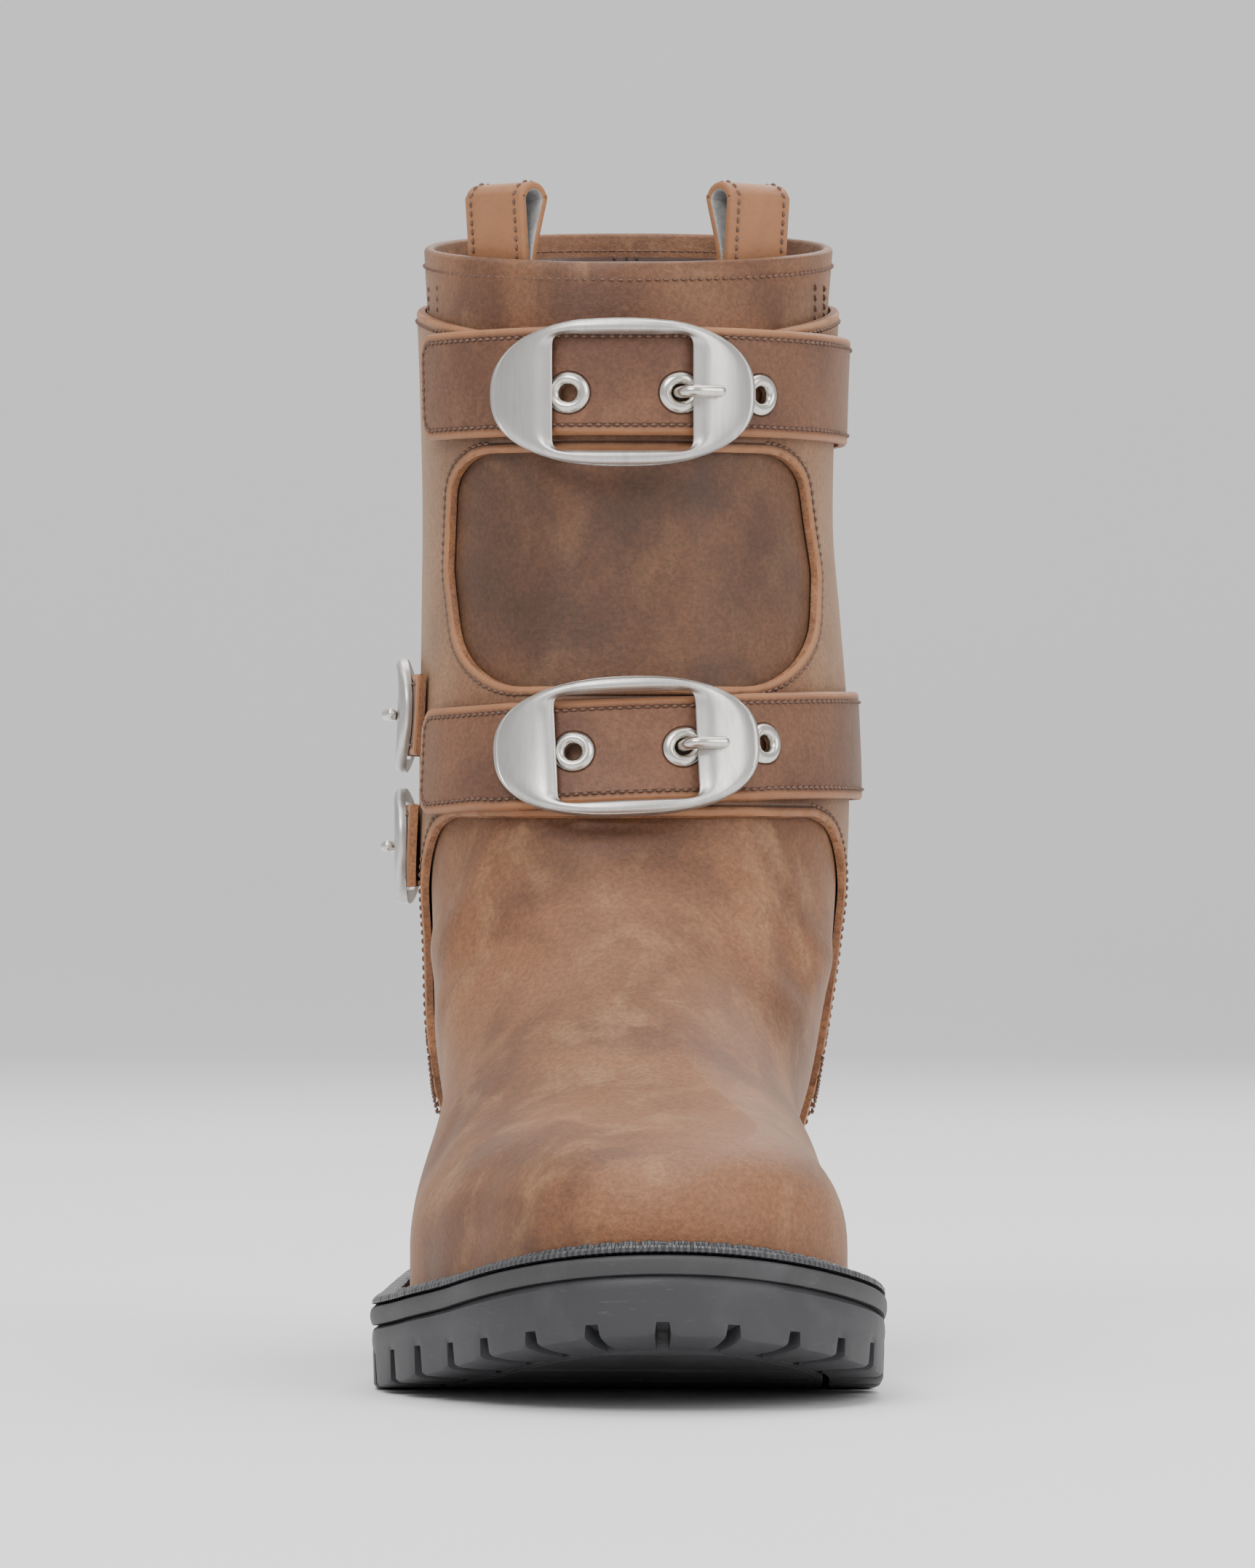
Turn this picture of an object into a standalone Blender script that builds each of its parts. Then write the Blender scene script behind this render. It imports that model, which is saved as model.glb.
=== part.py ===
"""Motorcycle boot for the right foot: welted sole, hollow upper, outer harness, straps, buckles, loops.

The toe points to -Y, the inner side of the foot is +X, and the boot stands on z = 0.
"""
import math

import bmesh
import bpy
import numpy as np

# Last and foot
LAST_LENGTH = 0.2695
BALL_WIDTH = 0.0965
TOE_TURN = 0.008
INSTEP_RISE = 0.0716
UPPER_WALL = 0.0024

# Shaft
SHAFT_DEPTH = 0.1095
SHAFT_WIDTH = 0.097
COLLAR_FRONT_HEIGHT = 0.2526
COLLAR_SLOPE_RISE = 0.0129

# Sole
SOLE_THICKNESS = 0.018
MIDSOLE_THICKNESS = 0.0042
SHANK_THICKNESS = 0.006
HEEL_HEIGHT = 0.040
TOE_SPRING = 0.0166
WELT_TOE = 0.008
WELT_BALL = 0.0088
WELT_WAIST = 0.0062
WELT_HEEL = 0.0056
WELT_THICKNESS = 0.0024
BEAD_PITCH = 0.0057
BEAD_DEPTH = 0.0009
INSOLE_THICKNESS = 0.003
LUG_PITCH = 0.0158
LUG_SLOT = 0.0034
LUG_LENGTH = 0.0135
LUG_DEPTH = 0.0075
TOE_LUG_DEPTH = 0.0034
CHANNEL_WIDTH = 0.003
CHANNEL_SHALLOWER = 0.0012
BAR_SHALLOWER = 0.0018
BAR_WIDTH_SHARE = 0.48
BAR_SHARES = (0.115, 0.185, 0.255, 0.325, 0.395)
HEEL_BREAST_SHARE = 0.735

# Outer leather
HARNESS_THICKNESS = 0.002
STRAP_THICKNESS = 0.002
STRAP_WIDTH = 0.0248
STRAP_CORNER = 0.0062
UPPER_STRAP_HEIGHT = 0.2258
LOWER_STRAP_HEIGHT = 0.1402
LOWER_STRAP_TURN = 2.6
SIDE_STRAP_WIDTH = 0.019
UPPER_SIDE_HEIGHT = 0.1497
LOWER_SIDE_HEIGHT = 0.1193
SIDE_STRAP_BULGE = 0.0016
# Where the side straps start, buckle and end, shares of LAST_LENGTH from the toe tip
SIDE_STRAP_SHARES = (0.700, 0.778, 0.945)
STRAP_TIP_SHARE = 0.474
STRAP_SEAM_TURN = 1.95
WINDOW_MARGIN = 0.0035
WINDOW_LEFT_SHARE = 0.430
WINDOW_RIGHT_SHARE = 0.460

# Metal
BUCKLE_LENGTH = 0.061
BUCKLE_HEIGHT = 0.034
BUCKLE_WINDOW = 0.0323
BUCKLE_WINDOW_HEIGHT = 0.0265
BUCKLE_EDGE = 0.0014
BUCKLE_CROWN = 0.0026
SIDE_BUCKLE_LENGTH = 0.036
SIDE_BUCKLE_HEIGHT = 0.0268
SIDE_BUCKLE_WINDOW = 0.019
SIDE_BUCKLE_WINDOW_HEIGHT = 0.0206
EYELET_OUTER = 0.0095
EYELET_HOLE = 0.0048
EYELET_THICKNESS = 0.0005
EYELET_SHARES = (-0.200, 0.215, 0.520)
PRONG_RADIUS = 0.0013
PRONG_REACH = 0.0094
PRONG_RAMP = 0.0042
SIDE_PRONG_REACH = 0.0140
SIDE_PRONG_RAMP = 0.0085
UPPER_BUCKLE_DROP = 0.0028
UPPER_BUCKLE_X = -0.0009
LOWER_BUCKLE_DROP = -0.0003
LOWER_BUCKLE_X = 0.0

# Pull loops
LOOP_WIDTH = 0.0195
LOOP_THICKNESS = 0.002
LOOP_RISE = 0.0185
LOOP_TUCK = 0.014
LOOP_SIDE_X = 0.0335
LOOP_LEAN = 0.0010
LOOP_EYE = 0.0046
LOOP_SET_BACK = 0.0012
LOOP_NECK = 0.003

# Fit and mesh density
GAP = 0.0003
SKIN_GAP = 0.0005
LAYER_GAP = 0.0011
WELT_GAP = 0.0013
INSOLE_GAP = 0.0016
CUTTER_REACH = 0.004
CUTTER_DROP = 0.01
SIDE_STEPS = 16
FOOT_ROWS = 18
SHAFT_ROWS = 5
ANKLE_PLACE = 0.66
SOLE_STEPS = 24

# Sections of the foot, heel and shaft, from the sole's edge to the collar.
# reach: front of the section from the toe tip, share of LAST_LENGTH
# rise: front height over the toe's edge, share of INSTEP_RISE
# back: how far the heel curve bulges out, share of LAST_LENGTH
# back_rise: back height, share of the way from the heel seat to the collar
FOOT_SECTIONS = (
    # reach, rise, back, back_rise
    (0.0000, 0.000, 0.0000, 0.000),
    (0.0015, 0.100, 0.0056, 0.030),
    (0.0080, 0.195, 0.0085, 0.063),
    (0.0290, 0.288, 0.0093, 0.096),
    (0.0740, 0.368, 0.0078, 0.132),
    (0.1400, 0.415, 0.0041, 0.172),
    (0.2070, 0.445, -0.0011, 0.212),
    (0.2780, 0.515, -0.0070, 0.256),
    (0.3520, 0.645, -0.0130, 0.301),
    (0.4260, 0.812, -0.0174, 0.350),
    (0.4900, 1.000, -0.0204, 0.403),
)
# depth: section depth, share of SHAFT_DEPTH
# rise: front height, share of the way from the instep to the collar
SHAFT_SECTIONS = (
    # depth, rise, back, back_rise
    (1.100, 0.105, -0.0219, 0.461),
    (1.042, 0.228, -0.0211, 0.532),
    (1.014, 0.376, -0.0197, 0.620),
    (1.004, 0.573, -0.0174, 0.740),
    (1.002, 0.790, -0.0145, 0.869),
    (1.000, 1.000, -0.0111, 1.000),
)
# Half widths of the foot at the sole's edge, shares of BALL_WIDTH from the ridge line,
# and the ridge line's own turn to the inner side, share of TOE_TURN
PLAN = (
    # along, lateral, medial, turn
    (0.00, 0.420, 0.420, 1.00),
    (0.12, 0.440, 0.440, 0.97),
    (0.20, 0.500, 0.430, 0.88),
    (0.28, 0.545, 0.440, 0.67),
    (0.36, 0.532, 0.440, 0.46),
    (0.45, 0.495, 0.415, 0.26),
    (0.55, 0.435, 0.385, 0.07),
    (0.70, 0.395, 0.370, 0.00),
    (1.00, 0.370, 0.370, 0.00),
)
# Half widths of heel, ankle and shaft by height, shares of SHAFT_WIDTH
SHAFT_WIDTHS = (
    # height (share of COLLAR_FRONT_HEIGHT), lateral, medial
    (0.13, 0.380, 0.370),
    (0.20, 0.402, 0.398),
    (0.26, 0.440, 0.440),
    (0.32, 0.456, 0.468),
    (0.38, 0.460, 0.490),
    (0.44, 0.467, 0.506),
    (0.52, 0.470, 0.514),
    (0.60, 0.467, 0.508),
    (0.68, 0.466, 0.493),
    (0.78, 0.466, 0.477),
    (0.89, 0.472, 0.483),
    (0.97, 0.480, 0.493),
    (1.04, 0.490, 0.506),
)
# How far the sole stands out past the upper
WELT_REACH = (
    # along, reach
    (0.00, WELT_TOE),
    (0.30, WELT_BALL),
    (0.58, WELT_WAIST),
    (0.80, WELT_HEEL),
    (1.00, WELT_HEEL),
)
ROLL_SHARE = 0.32
ARCH_SHARES = (0.38, 0.78)
TREAD_END_SHARE = 0.47
BLEND_SHARES = (0.42, 0.64)
TOE_ROUND_SHARE = 0.22
# Side profiles of the sole's layers
OUTSOLE_SIDE = (
    # inset, level (share of the height, from the top)
    (0.0016, 0.00),
    (0.0004, 0.34),
    (0.0010, 1.00),
)
HEEL_SIDE = (
    # inset, level
    (0.0010, 0.00),
    (0.0006, 0.30),
    (0.0026, 1.00),
)
MIDSOLE_SIDE = (
    # inset, level
    (0.0003, 0.00),
    (0.0000, 0.45),
    (0.0004, 1.00),
)
# Side view of the harness's front edge under the lower strap
VAMP_OPENING = (
    # along, drop (share of LOWER_STRAP_HEIGHT, down from the strap)
    (-0.200, 0.0000),
    (0.625, 0.0071),
    (0.655, 0.0285),
    (0.678, 0.0749),
    (0.700, 0.1569),
    (0.718, 0.2425),
    (0.725, 0.3852),
    (0.722, 0.5421),
    (0.716, 0.6419),
    (0.716, 1.0600),
    (-0.200, 1.0600),
)
# Side view of the harness's top edge, shares of SHAFT_DEPTH from the shaft's front and the strap's top
TOP_TRIM = (
    # back, rise
    (-0.27, -0.005),
    (0.07, -0.005),
    (0.20, 0.018),
    (0.50, 0.064),
    (1.00, 0.119),
    (1.30, 0.137),
    (1.30, 0.730),
    (-0.27, 0.730),
)
# Front view of the window between the front straps
WINDOW_CORNERS = (
    # side (-1 outer, 1 inner), tuck (share of SHAFT_WIDTH), height (0 bottom, 1 top), radius (same share)
    (-1, 0.010, 1.0, 0.098),
    (-1, 0.000, 0.5, 0.206),
    (-1, 0.036, 0.0, 0.160),
    (1, 0.010, 0.0, 0.175),
    (1, 0.000, 0.5, 0.206),
    (1, 0.041, 1.0, 0.098),
)
# First and last place of the harness up the upper, before its edges are cut
HARNESS_FIRST = 0.021
HARNESS_LAST = 0.965

TOE_Y = -(LAST_LENGTH + WELT_TOE + WELT_HEEL) / 2 + WELT_TOE
HEEL_Y = TOE_Y + LAST_LENGTH
FRAME_SHIFT = 0.0
COLLAR_BACK_HEIGHT = COLLAR_FRONT_HEIGHT + COLLAR_SLOPE_RISE
HARNESS_TOP = SKIN_GAP + HARNESS_THICKNESS
STRAP_SEAT = HARNESS_TOP + LAYER_GAP
STRAP_TOP = STRAP_SEAT + STRAP_THICKNESS
EYELET_TOP = STRAP_TOP + GAP + EYELET_THICKNESS
BUCKLE_SEAT = EYELET_TOP + GAP


def along(share):
    """The place along the last at a share of its length from the toe tip."""
    return TOE_Y + share * LAST_LENGTH


def ease(value):
    """A soft step from 0 to 1."""
    value = np.clip(value, 0.0, 1.0)
    return value * value * (3 - 2 * value)


def smooth(places, heights, at):
    """A monotone cubic curve through the given points, level past its ends."""
    places = np.asarray(places, float)
    heights = np.asarray(heights, float)
    steps = np.diff(places)
    slopes = np.diff(heights) / steps
    tangents = np.zeros_like(heights)
    before = slopes[:-1]
    after = slopes[1:]
    same = before * after > 0
    safe_before = np.where(same, before, 1.0)
    safe_after = np.where(same, after, 1.0)
    weight_before = 2 * steps[1:] + steps[:-1]
    weight_after = steps[1:] + 2 * steps[:-1]
    mean = (weight_before + weight_after) / (weight_before / safe_before + weight_after / safe_after)
    tangents[1:-1] = np.where(same, mean, 0.0)
    tangents[0] = slopes[0]
    tangents[-1] = slopes[-1]
    at = np.clip(np.asarray(at, float), places[0], places[-1])
    index = np.clip(np.searchsorted(places, at, side="right") - 1, 0, len(steps) - 1)
    part = (at - places[index]) / steps[index]
    rise = part * part * (3 - 2 * part)
    start = heights[index] * (1 - rise) + heights[index + 1] * rise
    bend = part * (1 - part) * steps[index]
    return start + bend * ((1 - part) * tangents[index] - part * tangents[index + 1])


def superround(value, power):
    """The fall of a rounded end: 1 at value 0, down to 0 at value 1."""
    value = np.clip(value, 0.0, 1.0)
    return (1 - value ** power) ** (1 / power)


def spring(y):
    """How far the sole lifts towards the toe."""
    roll_y = along(ROLL_SHARE)
    lift = np.clip((roll_y - y) / (roll_y - TOE_Y + WELT_TOE), 0.0, 1.2)
    return TOE_SPRING * lift ** 1.55


def seat(y):
    """Height of the midsole's top, which carries the upper."""
    arch = ease((y - along(ARCH_SHARES[0])) / (along(ARCH_SHARES[1]) - along(ARCH_SHARES[0])))
    return SOLE_THICKNESS + spring(y) + (HEEL_HEIGHT - SOLE_THICKNESS) * arch


def column(table, number):
    """One named column of a table."""
    return np.array([row[number] for row in table])


def section_ends():
    """Front and back points of every section, as arrays of y and z."""
    toe_z = seat(TOE_Y) + SKIN_GAP
    heel_z = seat(HEEL_Y) + SKIN_GAP
    instep_z = toe_z + INSTEP_RISE
    back_y = HEEL_Y + LAST_LENGTH * np.append(column(FOOT_SECTIONS, 2), column(SHAFT_SECTIONS, 2))
    back_share = np.append(column(FOOT_SECTIONS, 3), column(SHAFT_SECTIONS, 3))
    back_z = heel_z + (COLLAR_BACK_HEIGHT - heel_z) * back_share
    foot_y = TOE_Y + LAST_LENGTH * column(FOOT_SECTIONS, 0)
    foot_z = toe_z + INSTEP_RISE * column(FOOT_SECTIONS, 1)
    shaft_y = back_y[len(foot_y):] - SHAFT_DEPTH * column(SHAFT_SECTIONS, 0)
    shaft_z = instep_z + (COLLAR_FRONT_HEIGHT - instep_z) * column(SHAFT_SECTIONS, 1)
    return np.append(foot_y, shaft_y), np.append(foot_z, shaft_z), back_y, back_z


FRONT_Y, FRONT_Z, BACK_Y, BACK_Z = section_ends()


def section_places():
    """Each section's place from 0 to 1, by the mean length of the front and back curves."""
    front = np.hypot(np.diff(FRONT_Y), np.diff(FRONT_Z))
    back = np.hypot(np.diff(BACK_Y), np.diff(BACK_Z))
    total = np.append(0.0, np.cumsum(front / front.sum() + back / back.sum()))
    return total / total[-1]


PLACES = section_places()
DENSE = np.linspace(0.0, 1.0, 600)
DENSE_FRONT_Y = smooth(PLACES, FRONT_Y, DENSE)
DENSE_FRONT_Z = smooth(PLACES, FRONT_Z, DENSE)
DENSE_BACK_Y = smooth(PLACES, BACK_Y, DENSE)
DENSE_BACK_Z = smooth(PLACES, BACK_Z, DENSE)


def half_width(y, z, side):
    """Half width of the upper at a point of its side view, and the ridge line's turn there."""
    share = (y - TOE_Y) / LAST_LENGTH
    width_column = np.where(side < 0, smooth(column(PLAN, 0), column(PLAN, 1), share),
                            smooth(column(PLAN, 0), column(PLAN, 2), share))
    turn = TOE_TURN * smooth(column(PLAN, 0), column(PLAN, 3), share)
    toe_round = superround(1 - share / TOE_ROUND_SHARE, 2.1)
    ridge = np.interp(y, DENSE_FRONT_Y, DENSE_FRONT_Z)
    base = seat(y) + 0.24 * (ridge - seat(y))
    dome_power = 2.5 - 0.6 * ease(share / 0.42)
    dome = superround((z - base) / np.maximum(ridge - base, 1e-6), dome_power)
    foot = BALL_WIDTH * width_column * toe_round * dome
    level = z / COLLAR_FRONT_HEIGHT
    shaft_column = np.where(side < 0, smooth(column(SHAFT_WIDTHS, 0), column(SHAFT_WIDTHS, 1), level),
                            smooth(column(SHAFT_WIDTHS, 0), column(SHAFT_WIDTHS, 2), level))
    front = np.interp(z, DENSE_FRONT_Z, DENSE_FRONT_Y)
    back = np.interp(z, DENSE_BACK_Z, DENSE_BACK_Y)
    round_front = 0.5 * SHAFT_DEPTH
    round_back = (0.69 - 0.19 * ease((level - 0.25) / 0.35)) * SHAFT_DEPTH
    front_fall = superround((front + round_front - y) / round_front, 2.1)
    back_fall = superround((y - back + round_back) / round_back, 2.15)
    shaft = SHAFT_WIDTH * shaft_column * front_fall * back_fall
    blend = ease((share - BLEND_SHARES[0]) / (BLEND_SHARES[1] - BLEND_SHARES[0]))
    return foot * (1 - blend) + shaft * blend, turn * (1 - blend)


def upper_point(place, turn):
    """The upper's outside: place 0 to 1 from sole to collar, turn from -pi to pi, 0 at the front."""
    step = (1 - np.cos(turn)) / 2
    front_y = smooth(PLACES, FRONT_Y, place)
    front_z = smooth(PLACES, FRONT_Z, place)
    back_y = smooth(PLACES, BACK_Y, place)
    back_z = smooth(PLACES, BACK_Z, place)
    y = front_y + (back_y - front_y) * step
    straight = FRONT_Z[0] + (BACK_Z[0] - FRONT_Z[0]) * step
    follow = np.clip(1 - place / 0.42, 0.0, 1.0) ** 2
    z = front_z + (back_z - front_z) * step + (seat(y) + SKIN_GAP - straight) * follow
    side = np.where(np.sin(turn) < 0, -1.0, 1.0)
    width, ridge = half_width(y, z, side)
    return np.stack(np.broadcast_arrays(FRAME_SHIFT + ridge + side * width, y, z), axis=-1)


def shaft_point(turn, z):
    """The same outside as upper_point on a level cut through the shaft."""
    front = np.interp(z, DENSE_FRONT_Z, DENSE_FRONT_Y)
    back = np.interp(z, DENSE_BACK_Z, DENSE_BACK_Y)
    y = front + (back - front) * (1 - np.cos(turn)) / 2
    side = np.where(np.sin(turn) < 0, -1.0, 1.0)
    width, ridge = half_width(y, z, side)
    return np.stack(np.broadcast_arrays(FRAME_SHIFT + ridge + side * width, y, z), axis=-1)


def normal_of(points, first, second, outward):
    """Unit normals of a surface from steps in its two values."""
    step = 1e-3
    by_first = points(first + step, second) - points(first - step, second)
    by_second = points(first, second + step) - points(first, second - step)
    normal = np.cross(by_first, by_second) * outward
    return normal / np.maximum(np.linalg.norm(normal, axis=-1, keepdims=True), 1e-12)


def upper_surface(place, turn, lift):
    """A point of the upper, lifted off its outside."""
    inner = np.clip(place, 2e-3, 1 - 2e-3)
    normal = normal_of(upper_point, inner, turn, -1.0)
    return upper_point(place, turn) + normal * np.asarray(lift)[..., None]


def shaft_surface(turn, z, lift):
    """A point of the shaft, lifted off its outside."""
    normal = normal_of(shaft_point, turn, z, 1.0)
    return shaft_point(turn, z) + normal * np.asarray(lift)[..., None]


def front_turn(x, z, lift=0.0):
    """The turn at which the shaft's front, lifted, lies at x on the height z."""
    low = np.full(np.broadcast(x, z).shape, -0.56 * math.pi)
    high = -low
    for _ in range(30):
        middle = (low + high) / 2
        beyond = shaft_surface(middle, z, lift)[..., 0] > x
        high = np.where(beyond, middle, high)
        low = np.where(beyond, low, middle)
    return (low + high) / 2


def on_front(x, z, lift):
    """A point on the shaft's front, given as it shows from the front."""
    x, z, lift = np.broadcast_arrays(x, z, lift)
    return shaft_surface(front_turn(x, z, lift), z, lift)


def on_side(y, z, lift):
    """A point on the shaft's outer side, given as it shows from that side."""
    y, z, lift = np.broadcast_arrays(y, z, lift)
    front = np.interp(z, DENSE_FRONT_Z, DENSE_FRONT_Y)
    back = np.interp(z, DENSE_BACK_Z, DENSE_BACK_Y)
    share = np.clip((y - front) / (back - front), 0.0, 1.0)
    return shaft_surface(-np.arccos(1 - 2 * share), z, lift)


def new_material(name, color, roughness, metallic=0.0):
    """A plain surface for one part."""
    material = bpy.data.materials.new(name)
    material.use_nodes = True
    shader = material.node_tree.nodes["Principled BSDF"]
    shader.inputs["Base Color"].default_value = (*color, 1.0)
    shader.inputs["Roughness"].default_value = roughness
    shader.inputs["Metallic"].default_value = metallic
    material.diffuse_color = (*color, 1.0)
    return material


def add_object(name, mesh, material, group):
    """Put a mesh in the boot's collection under its own name."""
    obj = bpy.data.objects.new(name, mesh)
    group.objects.link(obj)
    if material is not None:
        mesh.materials.append(material)
    return obj


def mesh_from(name, points, faces, angle=35.0):
    """A mesh with merged doubles and its faces turned outwards."""
    mesh = bpy.data.meshes.new(name)
    mesh.from_pydata([tuple(point) for point in points], [], faces)
    edit = bmesh.new()
    edit.from_mesh(mesh)
    bmesh.ops.remove_doubles(edit, verts=edit.verts, dist=1e-6)
    bmesh.ops.dissolve_degenerate(edit, edges=edit.edges, dist=1e-7)
    bmesh.ops.recalc_face_normals(edit, faces=edit.faces)
    edit.to_mesh(mesh)
    edit.free()
    mesh.shade_smooth()
    mesh.set_sharp_from_angle(angle=math.radians(angle))
    return mesh


def grid_faces(rows, columns, closed_columns=False, closed_rows=False):
    """Quads over a grid of points stored row by row."""
    faces = []
    for row in range(rows if closed_rows else rows - 1):
        for col in range(columns if closed_columns else columns - 1):
            next_row = (row + 1) % rows
            next_col = (col + 1) % columns
            faces.append((row * columns + col, row * columns + next_col,
                          next_row * columns + next_col, next_row * columns + col))
    return faces


def loft(name, sections, ring=False, angle=35.0):
    """A closed solid through closed sections, an array of section, point and xyz.

    An end whose section has no width closes by itself, and another end gets a flat cap.
    """
    rows, columns = sections.shape[:2]
    faces = grid_faces(rows, columns, closed_columns=True, closed_rows=ring)
    for row in (0, rows - 1):
        spread = sections[row].max(axis=0) - sections[row].min(axis=0)
        if not ring and np.sort(spread)[1] > 1e-4:
            faces.append(tuple(row * columns + col for col in range(columns)))
    return mesh_from(name, sections.reshape(-1, 3), faces, angle)


def prism(name, outline, axis, low, high, group):
    """A cutter: a flat outline in the two other axes, pushed along one axis."""
    ends = []
    for value in (low, high):
        flat = np.asarray(outline, float)
        ends.append(np.insert(flat, axis, value, axis=1))
    sections = np.array(ends)
    return cutter(name, loft(name, sections), group)


def cutter(name, mesh, group):
    """An object that only cuts others."""
    obj = bpy.data.objects.new(name, mesh)
    group.objects.link(obj)
    obj.hide_render = True
    obj.display_type = "WIRE"
    return obj


def cut(obj, tool):
    """Cut a tool's shape out of an object."""
    modifier = obj.modifiers.new("cut_" + tool.name, "BOOLEAN")
    modifier.operation = "DIFFERENCE"
    modifier.solver = "EXACT"
    modifier.object = tool


def rounded(corners, radii, steps=5):
    """A closed outline whose corners are arcs."""
    corners = np.asarray(corners, float)
    outline = []
    for index, corner in enumerate(corners):
        before = corners[index - 1] - corner
        after = corners[(index + 1) % len(corners)] - corner
        before = before / np.linalg.norm(before)
        after = after / np.linalg.norm(after)
        half = math.acos(np.clip(np.dot(before, after), -1, 1)) / 2
        radius = radii[index]
        if radius <= 0:
            outline.append(corner)
            continue
        middle = (before + after) / np.linalg.norm(before + after)
        centre = corner + middle * radius / math.sin(half)
        start = corner + before * radius / math.tan(half) - centre
        end = corner + after * radius / math.tan(half) - centre
        first = math.atan2(start[1], start[0])
        sweep = (math.atan2(end[1], end[0]) - first + math.pi) % (2 * math.pi) - math.pi
        for step in range(steps + 1):
            angle = first + sweep * step / steps
            outline.append(centre + radius * np.array((math.cos(angle), math.sin(angle))))
    return np.array(outline)


def foot_outline(turn):
    """The upper's edge at the sole, seen from above."""
    return upper_point(np.zeros_like(turn), turn)[..., :2]


def sole_outline(turn, inset=0.0):
    """The sole's edge seen from above: the upper's edge pushed out by the welt's reach."""
    step = 2e-3
    way = foot_outline(turn + step) - foot_outline(turn - step)
    way = way / np.maximum(np.linalg.norm(way, axis=-1, keepdims=True), 1e-12)
    outward = np.stack((way[..., 1], -way[..., 0]), axis=-1)
    share = (1 - np.cos(turn)) / 2
    reach = smooth(column(WELT_REACH, 0), column(WELT_REACH, 1), share) - inset
    return foot_outline(turn) + outward * reach[..., None]


def middle_shift():
    """The move in x that puts the middle of the sole's width at x = 0."""
    edge = sole_outline(np.linspace(-math.pi, math.pi, 721))[:, 0]
    return -float(edge.min() + edge.max()) / 2


FRAME_SHIFT = middle_shift()


def slab(name, turns, side_profile, top, bottom):
    """A layer of the sole, from ribs across it, with the given profile down its side."""
    ribs = []
    for turn in turns:
        sides = []
        for side in (-1.0, 1.0):
            points = []
            for inset, level in side_profile:
                x, y = sole_outline(np.array(side * turn), inset)
                points.append((x, y, top(y) + (bottom(y) - top(y)) * level))
            sides.append(points)
        left, right = sides
        across = (0.25, 0.5, 0.75)
        below = []
        above = []
        for share in across:
            x, y = np.array(left[-1][:2]) * (1 - share) + np.array(right[-1][:2]) * share
            below.append((x, y, bottom(y)))
            x, y = np.array(right[0][:2]) * (1 - share) + np.array(left[0][:2]) * share
            above.append((x, y, top(y)))
        ribs.append(left + below + right[::-1] + above)
    return loft(name, np.array(ribs, float))


def rib_turns(first, last, count):
    """Turns of the ribs, a little off the two ends, where a rib has no width."""
    return np.linspace(max(first, 0.0), min(last, math.pi), count)


def outsole_top(y):
    """Top of the outsole, under the midsole."""
    return seat(y) - MIDSOLE_THICKNESS - GAP


def outsole_bottom(y):
    """Underside of the outsole: the tread in front, the thin waist and heel seat behind."""
    start = along(TREAD_END_SHARE)
    end = along(TREAD_END_SHARE + 0.13)
    thin = outsole_top(y) - SHANK_THICKNESS
    return spring(y) + (thin - spring(y)) * ease((y - start) / (end - start))


def midsole_bottom(y):
    """Underside of the midsole."""
    return seat(y) - MIDSOLE_THICKNESS


def heel_top(y):
    """Top of the heel block, under the outsole."""
    return outsole_bottom(y) - GAP


def floor_level(y):
    """The flat that the heel stands on."""
    return np.zeros_like(y)


def edge_places(pitch, inset, dense=1600):
    """Turns that lie one pitch apart along the sole's edge, counted from the toe both ways."""
    found = {}
    for side in (-1.0, 1.0):
        turns = np.linspace(0.0, math.pi, dense) * side
        edge = sole_outline(turns, inset)
        run = np.append(0.0, np.cumsum(np.linalg.norm(np.diff(edge, axis=0), axis=1)))
        count = int(run[-1] / pitch)
        found[side] = [float(np.interp(number * pitch, run, turns * side)) * side
                       for number in range(count + 1)]
    return found


def lug_box(turn, width, ceiling):
    """Eight corners of one radial slot at the sole's edge, wider than the edge and below it."""
    step = 2e-3
    edge = sole_outline(np.array(turn))
    way = sole_outline(np.array(turn + step)) - sole_outline(np.array(turn - step))
    way = way / np.linalg.norm(way)
    inward = np.array((-way[1], way[0]))
    corners = []
    for level in (lambda y: spring(y) - CUTTER_DROP, ceiling):
        for distance, across in ((-CUTTER_REACH, -0.5), (-CUTTER_REACH, 0.5),
                                 (LUG_LENGTH, 0.5), (LUG_LENGTH, -0.5)):
            x, y = edge + inward * distance + way * across * width
            corners.append((x, y, float(level(y))))
    return corners


def boxes_mesh(name, boxes):
    """One cutter mesh of many separate six-sided boxes."""
    points = []
    faces = []
    for corners in boxes:
        start = len(points)
        points += corners
        for face in ((0, 3, 2, 1), (4, 5, 6, 7), (0, 1, 5, 4), (1, 2, 6, 5), (2, 3, 7, 6), (3, 0, 4, 7)):
            faces.append(tuple(start + number for number in face))
    return mesh_from(name, np.array(points, float), faces)


def tread_ceiling(y):
    """Top of the slots between the lugs: deep at the ball, shallow at the toe tip."""
    depth = TOE_LUG_DEPTH + (LUG_DEPTH - TOE_LUG_DEPTH) * ease((y - TOE_Y + WELT_TOE) / (0.25 * LAST_LENGTH))
    return spring(y) + depth


def heel_ceiling(y):
    """Top of the slots under the heel."""
    return np.zeros_like(y) + LUG_DEPTH


def band_turns(count):
    """Evenly spread turns right round the boot."""
    return np.linspace(-math.pi, math.pi, count, endpoint=False)


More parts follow.
